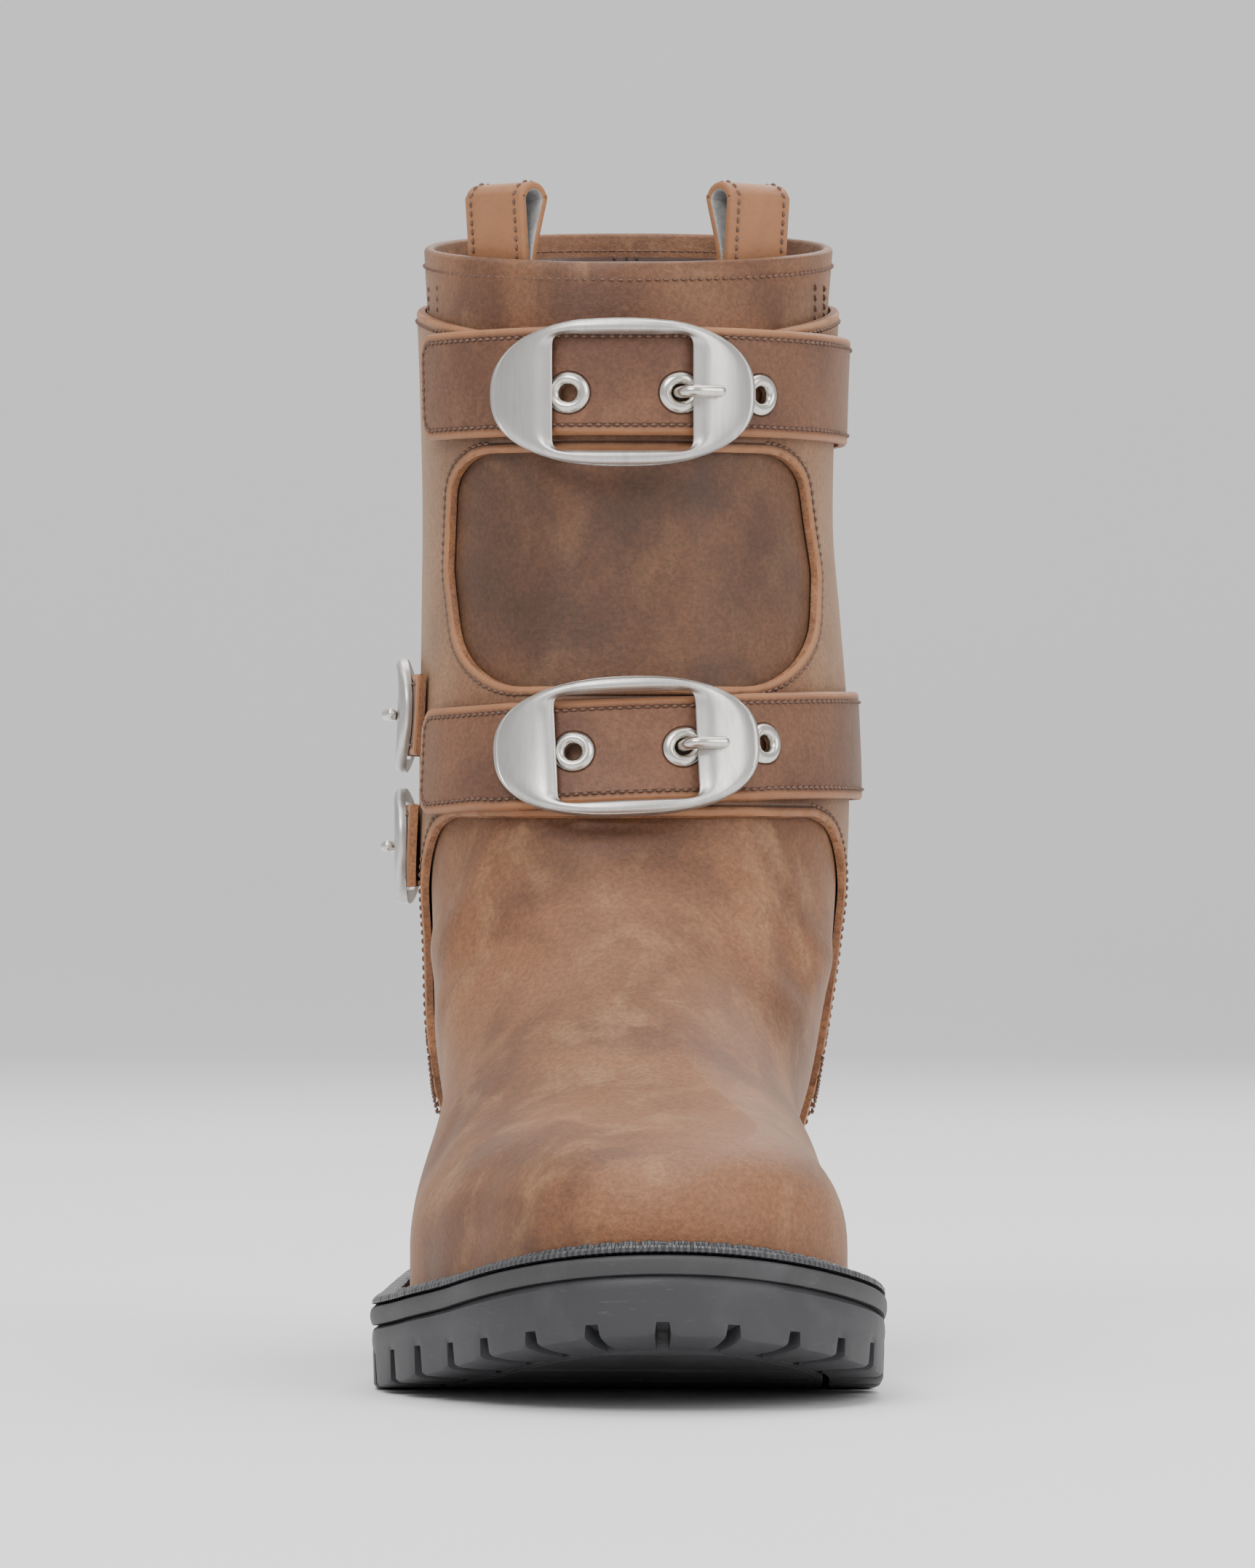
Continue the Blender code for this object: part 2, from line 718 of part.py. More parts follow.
def build_sole(group, cutters, rubber, cork):
    """Outsole, heel, midsole, welt and insole."""
    full = rib_turns(0.0, math.pi, SOLE_STEPS + 1)
    outsole = add_object("outsole", slab("outsole", full, OUTSOLE_SIDE, outsole_top, outsole_bottom),
                         rubber, group)
    slots = []
    places = edge_places(LUG_PITCH, 0.0)
    tread_end = along(TREAD_END_SHARE) - LUG_SLOT
    for side in (-1.0, 1.0):
        for number, turn in enumerate(places[side]):
            if number == 0 and side > 0:
                continue
            if sole_outline(np.array(turn))[1] < tread_end:
                slots.append(lug_box(turn, LUG_SLOT, tread_ceiling))
    cut(outsole, cutter("tread_channel", channel_mesh(), cutters))
    cut(outsole, cutter("tread_slots", boxes_mesh("tread_slots", slots), cutters))
    cut(outsole, cutter("tread_bars", boxes_mesh("tread_bars", tread_bars()), cutters))

    breast = along(HEEL_BREAST_SHARE)
    breast_turn = math.acos(1 - 2 * HEEL_BREAST_SHARE)
    heel_turns = rib_turns(breast_turn, math.pi, 12)
    heel = add_object("heel", slab("heel", heel_turns, HEEL_SIDE, heel_top, floor_level), rubber, group)
    heel_slots = []
    for side in (-1.0, 1.0):
        for turn in places[side]:
            if sole_outline(np.array(turn))[1] > breast + LUG_SLOT * 1.5:
                heel_slots.append(lug_box(turn, LUG_SLOT, heel_ceiling))
    cut(heel, cutter("heel_slots", boxes_mesh("heel_slots", heel_slots), cutters))

    add_object("midsole", slab("midsole", full, MIDSOLE_SIDE, seat, midsole_bottom), rubber, group)
    add_object("welt", welt_mesh(), rubber, group)
    add_object("insole", insole_mesh(), cork, group)


def channel_mesh():
    """The groove that runs inside the row of edge lugs, round the toe."""
    inset = LUG_LENGTH - 0.001
    turns = np.linspace(-1.0, 1.0, 31) * math.acos(1 - 2 * (TREAD_END_SHARE - 0.03))
    sections = []
    for turn in turns:
        outer = sole_outline(np.array(turn), inset)
        inner = sole_outline(np.array(turn), inset + CHANNEL_WIDTH)
        low = float(spring(outer[1])) - CUTTER_DROP
        sections.append(((*outer, low), (*inner, low),
                         (*inner, float(tread_ceiling(inner[1])) - CHANNEL_SHALLOWER),
                         (*outer, float(tread_ceiling(outer[1])) - CHANNEL_SHALLOWER)))
    return loft("tread_channel", np.array(sections, float))


def tread_bars():
    """Grooves across the middle of the tread."""
    bars = []
    half = BAR_WIDTH_SHARE * BALL_WIDTH / 2
    for share in BAR_SHARES:
        y = along(share)
        turn_x = FRAME_SHIFT + TOE_TURN * float(smooth(column(PLAN, 0), column(PLAN, 3), share))
        corners = []
        for up in (False, True):
            for across, back in ((-1, -1), (1, -1), (1, 1), (-1, 1)):
                x = turn_x + across * half
                place = y + back * CHANNEL_WIDTH / 2
                z = tread_ceiling(place) - BAR_SHALLOWER if up else spring(place) - CUTTER_DROP
                corners.append((x, place, float(z)))
        bars.append(corners)
    return bars


def welt_mesh():
    """The storm welt: a flat ring whose edge is pinched into beads."""
    dense = np.linspace(-math.pi, math.pi, 3000)
    edge = sole_outline(dense)
    run = np.append(0.0, np.cumsum(np.linalg.norm(np.diff(edge, axis=0), axis=1)))
    beads = int(round(run[-1] / BEAD_PITCH))
    turns = np.interp(np.arange(2 * beads) / (2 * beads) * run[-1], run, dense)
    dip = np.where(np.arange(2 * beads) % 2 == 0, 0.0, 1.0)
    outer = sole_outline(turns, 0.0002)
    valley = np.stack([sole_outline(np.array(turn), 0.0002 + BEAD_DEPTH * amount)
                       for turn, amount in zip(turns, dip)])
    inner = upper_surface(np.full_like(turns, 0.012), turns, np.full_like(turns, WELT_GAP))[..., :2]
    low = seat(outer[..., 1]) + SKIN_GAP
    inner_low = seat(inner[..., 1]) + SKIN_GAP
    sections = np.stack((
        np.column_stack((inner, inner_low)),
        np.column_stack((valley, low)),
        np.column_stack((valley, low + WELT_THICKNESS * (1 - 0.25 * dip))),
        np.column_stack((inner, inner_low + WELT_THICKNESS)),
    ), axis=1)
    return loft("welt", sections, ring=True)


def insole_mesh():
    """The insole fills the foot inside the wall."""
    turns = rib_turns(0.0, math.pi, SOLE_STEPS + 1)
    inset = UPPER_WALL + INSOLE_GAP
    ribs = []
    for turn in turns:
        sides = []
        for side in (-1.0, 1.0):
            step = 2e-3
            at = np.array(side * turn)
            way = foot_outline(at + step) - foot_outline(at - step)
            way = way / np.linalg.norm(way)
            x, y = foot_outline(at) - np.array((way[1], -way[0])) * inset
            sides.append((x, y))
        left, right = np.array(sides[0]), np.array(sides[1])
        rib = []
        for top in (False, True):
            for share in ((0.0, 0.5, 1.0) if not top else (1.0, 0.5, 0.0)):
                x, y = left * (1 - share) + right * share
                rib.append((x, y, float(seat(y)) + LAYER_GAP + (INSOLE_THICKNESS if top else 0.0)))
        ribs.append(rib)
    return loft("insole", np.array(ribs, float))


def upper_rows():
    """Places of the upper's rows, closer in the foot than in the straight shaft."""
    foot = np.linspace(0.0, ANKLE_PLACE, FOOT_ROWS + 1)
    shaft = np.linspace(ANKLE_PLACE, 1.0, SHAFT_ROWS + 1)
    return np.append(foot, shaft[1:])


def build_upper(group, leather):
    """The hollow upper: vamp, toe, counter and shaft in one wall."""
    turns = band_turns(2 * SIDE_STEPS)
    places = upper_rows()
    rows = len(places)
    place_grid, turn_grid = np.meshgrid(places, turns, indexing="ij")
    points = upper_point(place_grid, turn_grid)
    faces = grid_faces(rows, len(turns), closed_columns=True)
    mesh = bpy.data.meshes.new("upper")
    mesh.from_pydata([tuple(point) for point in points.reshape(-1, 3)], [], faces)
    mesh.shade_smooth()
    upper = add_object("upper", mesh, leather, group)
    wall = upper.modifiers.new("wall", "SOLIDIFY")
    wall.thickness = UPPER_WALL
    wall.offset = -1.0
    wall.use_even_offset = True
    return upper


def harness_front_edge():
    """Side view of what is open in front: the vamp, below the lower strap."""
    top = LOWER_STRAP_HEIGHT - STRAP_WIDTH / 2 - SKIN_GAP
    return [(along(share), top - drop * LOWER_STRAP_HEIGHT) for share, drop in VAMP_OPENING]


def harness_top_edge():
    """Side view of what is open above: everything over the harness's top edge."""
    top = UPPER_STRAP_HEIGHT + STRAP_WIDTH / 2
    front = float(np.interp(top, DENSE_FRONT_Z, DENSE_FRONT_Y))
    return [(front + back * SHAFT_DEPTH, top + rise * SHAFT_DEPTH) for back, rise in TOP_TRIM]


def window_outline():
    """Front view of the harness's window between the two straps."""
    top = UPPER_STRAP_HEIGHT - STRAP_WIDTH / 2 - WINDOW_MARGIN
    bottom = LOWER_STRAP_HEIGHT + STRAP_WIDTH / 2 + WINDOW_MARGIN
    corners = []
    radii = []
    for side, tuck, height, radius in WINDOW_CORNERS:
        edge = WINDOW_LEFT_SHARE if side < 0 else WINDOW_RIGHT_SHARE
        corners.append((side * (edge - tuck) * SHAFT_WIDTH, bottom + (top - bottom) * height))
        radii.append(radius * SHAFT_WIDTH)
    return rounded(corners, radii)


def build_harness(group, cutters, leather):
    """The outer skin round the sides and back, open in front."""
    turns = band_turns(2 * SIDE_STEPS)
    shared = upper_rows()[1:]
    places = np.concatenate(((HARNESS_FIRST,), shared[shared < HARNESS_LAST], (HARNESS_LAST,)))
    rows = len(places)
    place_grid, turn_grid = np.meshgrid(places, turns, indexing="ij")
    points = upper_surface(place_grid, turn_grid, np.full_like(turn_grid, SKIN_GAP))
    faces = grid_faces(rows, len(turns), closed_columns=True)
    mesh = bpy.data.meshes.new("harness")
    mesh.from_pydata([tuple(point) for point in points.reshape(-1, 3)], [], faces)
    mesh.shade_smooth()
    harness = add_object("harness", mesh, leather, group)
    wall = harness.modifiers.new("skin", "SOLIDIFY")
    wall.thickness = HARNESS_THICKNESS
    wall.offset = 1.0
    wall.use_even_offset = True
    reach = 1.2 * BALL_WIDTH
    cut(harness, prism("harness_vamp_opening", harness_front_edge(), 0, -reach, reach, cutters))
    cut(harness, prism("harness_top_trim", harness_top_edge(), 0, -reach, reach, cutters))
    middle = float(DENSE_FRONT_Y[-1]) + 0.5 * SHAFT_DEPTH
    cut(harness, prism("harness_window", window_outline(), 1, along(0.4), middle, cutters))
    return harness


def tab_half(distance, half, corner):
    """Half width of a strap's rounded end at a distance from its tip."""
    inside = np.clip(corner - distance, 0.0, corner)
    return half - corner + np.sqrt(np.maximum(corner ** 2 - inside ** 2, 0.0))


def strap_band(name, path, half, lows, highs):
    """A strap along a path of points, from a function of path place, cross place and lift."""
    count = len(half)
    across = (-1.0, -0.5, 0.0, 0.5, 1.0)
    sections = []
    for number in range(count):
        lower = [path(number, place * half[number], lows[number]) for place in across]
        upper = [path(number, place * half[number], highs[number]) for place in across[::-1]]
        sections.append(lower + upper)
    return loft(name, np.array(sections, float), angle=50.0)


def front_strap(name, height, turn_degrees, group, leather):
    """A front strap from its rounded tip on the outer side to its seam on the inner side."""
    low = STRAP_SEAT
    tip = -STRAP_TIP_SHARE * SHAFT_WIDTH
    slope = math.tan(math.radians(turn_degrees))
    first = float(front_turn(np.array(tip), np.array(height), np.array(low)))
    radius = SHAFT_WIDTH / 2
    corner_steps = np.array((0.0, 0.12, 0.35, 0.65, 1.0)) * STRAP_CORNER / radius
    straight = np.linspace(first + 2 * corner_steps[-1], STRAP_SEAM_TURN, 13)
    turns = np.append(first + corner_steps, straight)
    distances = (turns - first) * radius
    half = tab_half(distances, STRAP_WIDTH / 2, STRAP_CORNER)
    flat_x = shaft_point(turns, np.full_like(turns, height))[..., 0]
    centre = height + slope * flat_x

    def path(number, across, lift):
        z = np.array(centre[number] + across)
        return shaft_surface(np.array(turns[number]), z, np.array(lift))

    lows = np.full(len(turns), low)
    highs = np.full(len(turns), low + STRAP_THICKNESS)
    return add_object(name, strap_band(name, path, half, lows, highs), leather, group)


def frame_ring(name, mapping, outer, inner, profile, count=20):
    """A closed frame between two outlines: profile rows are share from inner to outer, and lift."""
    turns = np.linspace(0.0, 2 * math.pi, count, endpoint=False)
    sections = []
    for share, lift in profile:
        flat = inner(turns) * (1 - share) + outer(turns) * share
        sections.append(mapping(flat[:, 0], flat[:, 1], np.full(count, lift)))
    return loft(name, np.array(sections), ring=True, angle=40.0)


def oval(length, height, power=2.35):
    """An oval outline by angle, squarer than an ellipse."""
    def outline(turns):
        cosine, sine = np.cos(turns), np.sin(turns)
        x = np.sign(cosine) * np.abs(cosine) ** (2 / power) * length / 2
        z = np.sign(sine) * np.abs(sine) ** (2 / power) * height / 2
        return np.stack((x, z), axis=-1)
    return outline


def shifted_map(mapping, x, z, turn_degrees=0.0):
    """The same mapping with its flat place moved and turned."""
    cosine = math.cos(math.radians(turn_degrees))
    sine = math.sin(math.radians(turn_degrees))

    def placed(flat_x, flat_z, lift):
        return mapping(x + flat_x * cosine - flat_z * sine, z + flat_x * sine + flat_z * cosine, lift)
    return placed


def buckle_profile(seat_lift):
    """Section of a buckle's frame: flat below, edge, crown and edge above."""
    return (
        (0.0, seat_lift),
        (0.0, seat_lift + BUCKLE_EDGE),
        (0.35, seat_lift + BUCKLE_CROWN),
        (0.7, seat_lift + BUCKLE_CROWN),
        (1.0, seat_lift + BUCKLE_EDGE * 0.8),
        (1.0, seat_lift),
        (0.67, seat_lift),
        (0.33, seat_lift),
    )


def eyelet(name, mapping, seat_lift, group, metal):
    """A metal ring round a strap's hole."""
    outer = oval(EYELET_OUTER, EYELET_OUTER, 2.0)
    inner = oval(EYELET_HOLE, EYELET_HOLE, 2.0)
    profile = ((0.0, seat_lift), (0.0, seat_lift + EYELET_THICKNESS),
               (1.0, seat_lift + EYELET_THICKNESS), (1.0, seat_lift))
    return add_object(name, frame_ring(name, mapping, outer, inner, profile, 10), metal, group)


def hole_cutter(name, mapping, spots, cutters):
    """Round holes through a strap, one cutter for all of them."""
    points = []
    faces = []
    count = 10
    angles = np.linspace(0.0, 2 * math.pi, count, endpoint=False)
    for x, z in spots:
        start = len(points)
        for lift in (HARNESS_TOP, STRAP_TOP + LAYER_GAP):
            ring = mapping(x + np.cos(angles) * EYELET_HOLE / 2, z + np.sin(angles) * EYELET_HOLE / 2,
                           np.full(count, lift))
            points += [tuple(point) for point in ring]
        faces.append(tuple(start + number for number in range(count)))
        faces.append(tuple(start + count + number for number in range(count)))
        for number in range(count):
            after = (number + 1) % count
            faces.append((start + number, start + after, start + count + after, start + count + number))
    return cutter(name, mesh_from(name, np.array(points, float), faces), cutters)


def prong(name, mapping, spots, group, metal):
    """A bent wire through its spots, each a flat place and a lift."""
    spots = np.asarray(spots, float)
    run = np.append(0.0, np.cumsum(np.linalg.norm(np.diff(spots, axis=0), axis=1)))
    places = np.linspace(0.0, run[-1], 7)
    flat = np.stack([smooth_path(run, spots[:, number], places) for number in range(3)], axis=-1)
    points = mapping(flat[:, 0], flat[:, 1], flat[:, 2])
    curve = bpy.data.curves.new(name, "CURVE")
    curve.dimensions = "3D"
    curve.bevel_depth = PRONG_RADIUS
    curve.bevel_resolution = 2
    curve.use_fill_caps = True
    line = curve.splines.new("POLY")
    line.points.add(len(points) - 1)
    for target, point in zip(line.points, points):
        target.co = (*point, 1.0)
    obj = bpy.data.objects.new(name, curve)
    curve.materials.append(metal)
    group.objects.link(obj)
    return obj


def smooth_path(run, values, places):
    """A soft curve through values that may turn back."""
    order = np.gradient(values, run)
    index = np.clip(np.searchsorted(run, places, side="right") - 1, 0, len(run) - 2)
    step = run[index + 1] - run[index]
    part = (places - run[index]) / step
    cube, square = part ** 3, part ** 2
    return ((2 * cube - 3 * square + 1) * values[index] + (cube - 2 * square + part) * step * order[index]
            + (3 * square - 2 * cube) * values[index + 1] + (cube - square) * step * order[index + 1])


def build_front_buckle(level, strap, height, centre_x, turn_degrees, group, cutters, metal):
    """A front buckle with its prong and the eyelets of its strap."""
    place = shifted_map(on_front, centre_x, height, turn_degrees)
    outer = oval(BUCKLE_LENGTH, BUCKLE_HEIGHT)
    window = oval(BUCKLE_WINDOW, BUCKLE_WINDOW_HEIGHT, 7.0)
    name = "buckle_" + level
    add_object(name, frame_ring(name, place, outer, window, buckle_profile(BUCKLE_SEAT)), metal, group)
    spots = [(share * BUCKLE_LENGTH, 0.0) for share in EYELET_SHARES]
    cut(strap, hole_cutter("holes_" + level, place, spots, cutters))
    for number, (x, z) in enumerate(spots):
        ring = shifted_map(place, x, z)
        eyelet("eyelet_" + level + "_" + str(number + 1), ring, STRAP_TOP + GAP, group, metal)
    hole_x = spots[1][0]
    rest = BUCKLE_SEAT + BUCKLE_CROWN + GAP + PRONG_RADIUS
    inside = HARNESS_TOP + GAP + PRONG_RADIUS
    path = ((hole_x - GAP, 0.0, inside),
            (hole_x, 0.0, inside + 0.35 * (rest - inside)),
            (hole_x + 0.4 * PRONG_RAMP, 0.0, inside + 0.72 * (rest - inside)),
            (hole_x + PRONG_RAMP, 0.0, rest + GAP),
            (hole_x + PRONG_REACH, 0.0, rest + GAP))
    prong("prong_" + level, place, path, group, metal)


def build_side_strap(level, height, group, leather, metal):
    """A narrow strap on the outer side with its small buckle, prong and eyelet."""
    low = STRAP_SEAT
    start, centre, end = (along(share) for share in SIDE_STRAP_SHARES)
    seat_lift = low + STRAP_THICKNESS + GAP
    crown = seat_lift + BUCKLE_CROWN
    window_half = SIDE_BUCKLE_WINDOW / 2
    places = np.concatenate((np.linspace(start, centre - window_half, 5)[:-1],
                             centre + window_half * np.linspace(-1.0, 1.0, 9),
                             np.linspace(centre + window_half, end - STRAP_CORNER, 6)[1:],
                             end - STRAP_CORNER * np.array((0.65, 0.35, 0.12, 0.0))))
    rise = np.clip(1 - ((places - centre) / window_half) ** 2, 0.0, 1.0) ** 1.3
    half = tab_half(end - places, SIDE_STRAP_WIDTH / 2, STRAP_CORNER)

    def path(number, across, lift):
        return on_side(np.array(places[number]), np.array(height + across), np.array(lift))

    lows = low + SIDE_STRAP_BULGE * rise
    name = "side_strap_" + level
    add_object(name, strap_band(name, path, half, lows, lows + STRAP_THICKNESS), leather, group)
    frame = shifted_map(on_side, centre, height)
    outer = oval(SIDE_BUCKLE_LENGTH, SIDE_BUCKLE_HEIGHT)
    window = oval(SIDE_BUCKLE_WINDOW + 2 * GAP, SIDE_BUCKLE_WINDOW_HEIGHT, 7.0)
    name = "side_buckle_" + level
    add_object(name, frame_ring(name, frame, outer, window, buckle_profile(seat_lift)), metal, group)
    top = low + SIDE_STRAP_BULGE + STRAP_THICKNESS + GAP
    eyelet("side_eyelet_" + level, frame, top, group, metal)
    rest = crown + GAP + PRONG_RADIUS
    over_strap = top + EYELET_THICKNESS + GAP + PRONG_RADIUS
    path_spots = ((0.0, 0.0, over_strap),
                  (-0.5 * SIDE_PRONG_RAMP, 0.0, over_strap),
                  (-SIDE_PRONG_RAMP, 0.0, rest + 3 * GAP),
                  (-SIDE_PRONG_REACH, 0.0, rest))
    prong("side_prong_" + level, frame, path_spots, group, metal)


def build_pull_loop(name, side, group, leather):
    """A folded strap that stands up inside the collar, seen end on as a tab with a long eye."""
    collar = np.array(0.995)
    low, high = 0.0, math.pi
    for _ in range(40):
        middle = (low + high) / 2
        if abs(float(upper_point(collar, np.array(side * middle))[0])) > LOOP_SIDE_X:
            high = middle
        else:
            low = middle
        if middle > 0.5 * math.pi:
            high = middle
    turn = np.array(side * low)
    rim = upper_point(np.array(1.0), turn)
    step = 1e-2
    way = upper_point(collar, turn + step) - upper_point(collar, turn - step)
    way[2] = 0.0
    way = way / np.linalg.norm(way)
    inward = np.array((-way[1], way[0], 0.0))
    sag = (LOOP_WIDTH / 2) ** 2 / SHAFT_WIDTH
    base = rim + inward * (UPPER_WALL + GAP + sag + LOOP_LEAN)
    thick = LOOP_THICKNESS
    outside = [(0.0, -LOOP_TUCK), (2 * thick, -LOOP_TUCK), (2 * thick, 0.0)]
    inside = []
    wide = 2 * thick + LOOP_EYE
    arch = wide / 2
    crown = LOOP_RISE - arch
    for angle in np.linspace(0.0, math.pi, 9):
        outside.append((arch + arch * math.cos(angle) - LOOP_SET_BACK, crown + arch * math.sin(angle)))
    outside.append((0.0, LOOP_NECK))
    eye = LOOP_EYE / 2
    inside.append((thick, 0.0))
    for angle in np.linspace(0.0, math.pi, 9):
        inside.append((arch + eye * math.cos(angle) - LOOP_SET_BACK, crown + eye * math.sin(angle)))
    curve = bpy.data.curves.new(name, "CURVE")
    curve.dimensions = "2D"
    curve.fill_mode = "BOTH"
    curve.extrude = LOOP_WIDTH / 2
    for outline in (outside, inside):
        line = curve.splines.new("POLY")
        line.points.add(len(outline) - 1)
        for target, (x, y) in zip(line.points, outline):
            target.co = (x, y, 0.0, 1.0)
        line.use_cyclic_u = True
    obj = bpy.data.objects.new(name, curve)
    curve.materials.append(leather)
    group.objects.link(obj)
    obj.location = base
    obj.rotation_euler = (math.pi / 2, 0.0, math.atan2(inward[1], inward[0]))
    return obj


def main():
    """Build the whole boot."""
    for obj in list(bpy.data.objects):
        bpy.data.objects.remove(obj, do_unlink=True)
    group = bpy.data.collections.new("motorcycle_boot")
    cutters = bpy.data.collections.new("cutters")
    bpy.context.scene.collection.children.link(group)
    bpy.context.scene.collection.children.link(cutters)

    rubber = new_material("black_rubber", (0.045, 0.045, 0.047), 0.75)
    leather = new_material("brown_leather", (0.20, 0.09, 0.04), 0.6)
    dark = new_material("dark_leather", (0.09, 0.04, 0.022), 0.55)
    metal = new_material("old_nickel", (0.55, 0.52, 0.48), 0.35, 1.0)
    cork = new_material("insole_board", (0.13, 0.08, 0.05), 0.9)

    build_sole(group, cutters, rubber, cork)
    build_upper(group, dark)
    build_harness(group, cutters, leather)
    upper_strap = front_strap("strap_upper", UPPER_STRAP_HEIGHT, 0.0, group, leather)
    lower_strap = front_strap("strap_lower", LOWER_STRAP_HEIGHT, LOWER_STRAP_TURN, group, leather)
    build_front_buckle("upper", upper_strap, UPPER_STRAP_HEIGHT - UPPER_BUCKLE_DROP, UPPER_BUCKLE_X,
                       0.0, group, cutters, metal)
    build_front_buckle("lower", lower_strap, LOWER_STRAP_HEIGHT - LOWER_BUCKLE_DROP, LOWER_BUCKLE_X,
                       LOWER_STRAP_TURN, group, cutters, metal)
    build_side_strap("upper", UPPER_SIDE_HEIGHT, group, leather, metal)
    build_side_strap("lower", LOWER_SIDE_HEIGHT, group, leather, metal)
    build_pull_loop("pull_loop_lateral", -1.0, group, leather)
    build_pull_loop("pull_loop_medial", 1.0, group, leather)


main()
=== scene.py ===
import math

import bmesh
import bpy
import numpy as np
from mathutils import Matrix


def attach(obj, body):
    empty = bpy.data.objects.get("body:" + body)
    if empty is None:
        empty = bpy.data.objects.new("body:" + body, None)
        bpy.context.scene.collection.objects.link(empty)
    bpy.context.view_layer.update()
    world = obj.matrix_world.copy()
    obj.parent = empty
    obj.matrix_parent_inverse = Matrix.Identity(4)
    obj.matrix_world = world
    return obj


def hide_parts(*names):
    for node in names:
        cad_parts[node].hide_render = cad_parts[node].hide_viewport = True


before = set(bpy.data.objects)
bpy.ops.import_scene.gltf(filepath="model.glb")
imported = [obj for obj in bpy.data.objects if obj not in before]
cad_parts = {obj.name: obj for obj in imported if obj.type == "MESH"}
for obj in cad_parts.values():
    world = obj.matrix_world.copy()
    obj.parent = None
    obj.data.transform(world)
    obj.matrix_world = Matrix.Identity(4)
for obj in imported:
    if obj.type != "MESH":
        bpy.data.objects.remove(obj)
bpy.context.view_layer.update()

# Sizes of the last and the sole, in metres
lastSizes = {"length": 0.2695, "ball": 0.0965, "toeTurn": 0.008, "instep": 0.0716, "wall": 0.0024}
shaftSizes = {"depth": 0.1095, "width": 0.097, "collarFront": 0.2526, "collarRise": 0.0129}
soleSizes = {
    "thickness": 0.018, "midsole": 0.0042, "shank": 0.006, "heel": 0.040, "spring": 0.0166,
    "lugPitch": 0.0158, "slot": 0.0034, "lugLength": 0.0135, "lugDepth": 0.0075, "toeLugDepth": 0.0034,
    "channel": 0.003, "breast": 0.735, "treadEnd": 0.47,
}
layers = {"gap": 0.0003, "skinGap": 0.0005, "layerGap": 0.0011, "weltGap": 0.0013, "leather": 0.002}
layers["harnessTop"] = layers["skinGap"] + layers["leather"]
layers["strapLow"] = layers["harnessTop"] + layers["layerGap"]
layers["strapTop"] = layers["strapLow"] + layers["leather"]
toeY = -(lastSizes["length"] + 0.008 + 0.0056) / 2 + 0.008
heelY = toeY + lastSizes["length"]
collarBack = shaftSizes["collarFront"] + shaftSizes["collarRise"]

# reach, rise, back, back rise of the foot's sections, shares of length, instep and height
footSections = np.array((
    (0.0000, 0.000, 0.0000, 0.000), (0.0015, 0.100, 0.0056, 0.030), (0.0080, 0.195, 0.0085, 0.063),
    (0.0290, 0.288, 0.0093, 0.096), (0.0740, 0.368, 0.0078, 0.132), (0.1400, 0.415, 0.0041, 0.172),
    (0.2070, 0.445, -0.0011, 0.212), (0.2780, 0.515, -0.0070, 0.256), (0.3520, 0.645, -0.0130, 0.301),
    (0.4260, 0.812, -0.0174, 0.350), (0.4900, 1.000, -0.0204, 0.403)))
# depth, rise, back, back rise of the shaft's sections
shaftSections = np.array((
    (1.100, 0.105, -0.0219, 0.461), (1.042, 0.228, -0.0211, 0.532), (1.014, 0.376, -0.0197, 0.620),
    (1.004, 0.573, -0.0174, 0.740), (1.002, 0.790, -0.0145, 0.869), (1.000, 1.000, -0.0111, 1.000)))
# along, outer half, inner half, turn of the ridge
plan = np.array((
    (0.00, 0.420, 0.420, 1.00), (0.12, 0.440, 0.440, 0.97), (0.20, 0.500, 0.430, 0.88),
    (0.28, 0.545, 0.440, 0.67), (0.36, 0.532, 0.440, 0.46), (0.45, 0.495, 0.415, 0.26),
    (0.55, 0.435, 0.385, 0.07), (0.70, 0.395, 0.370, 0.00), (1.00, 0.370, 0.370, 0.00)))
# height, outer half, inner half of the shaft
shaftWidths = np.array((
    (0.13, 0.380, 0.370), (0.20, 0.402, 0.398), (0.26, 0.440, 0.440), (0.32, 0.456, 0.468),
    (0.38, 0.460, 0.490), (0.44, 0.467, 0.506), (0.52, 0.470, 0.514), (0.60, 0.467, 0.508),
    (0.68, 0.466, 0.493), (0.78, 0.466, 0.477), (0.89, 0.472, 0.483), (0.97, 0.480, 0.493),
    (1.04, 0.490, 0.506)))
weltReach = np.array(((0.00, 0.008), (0.30, 0.0088), (0.58, 0.0062), (0.80, 0.0056), (1.00, 0.0056)))


def along(share):
    # place on the foot's length, as a share from the toe tip
    return toeY + share * lastSizes["length"]


def ease(value):
    # 3v^2 - 2v^3 between 0 and 1
    value = np.clip(value, 0.0, 1.0)
    return value * value * (3 - 2 * value)


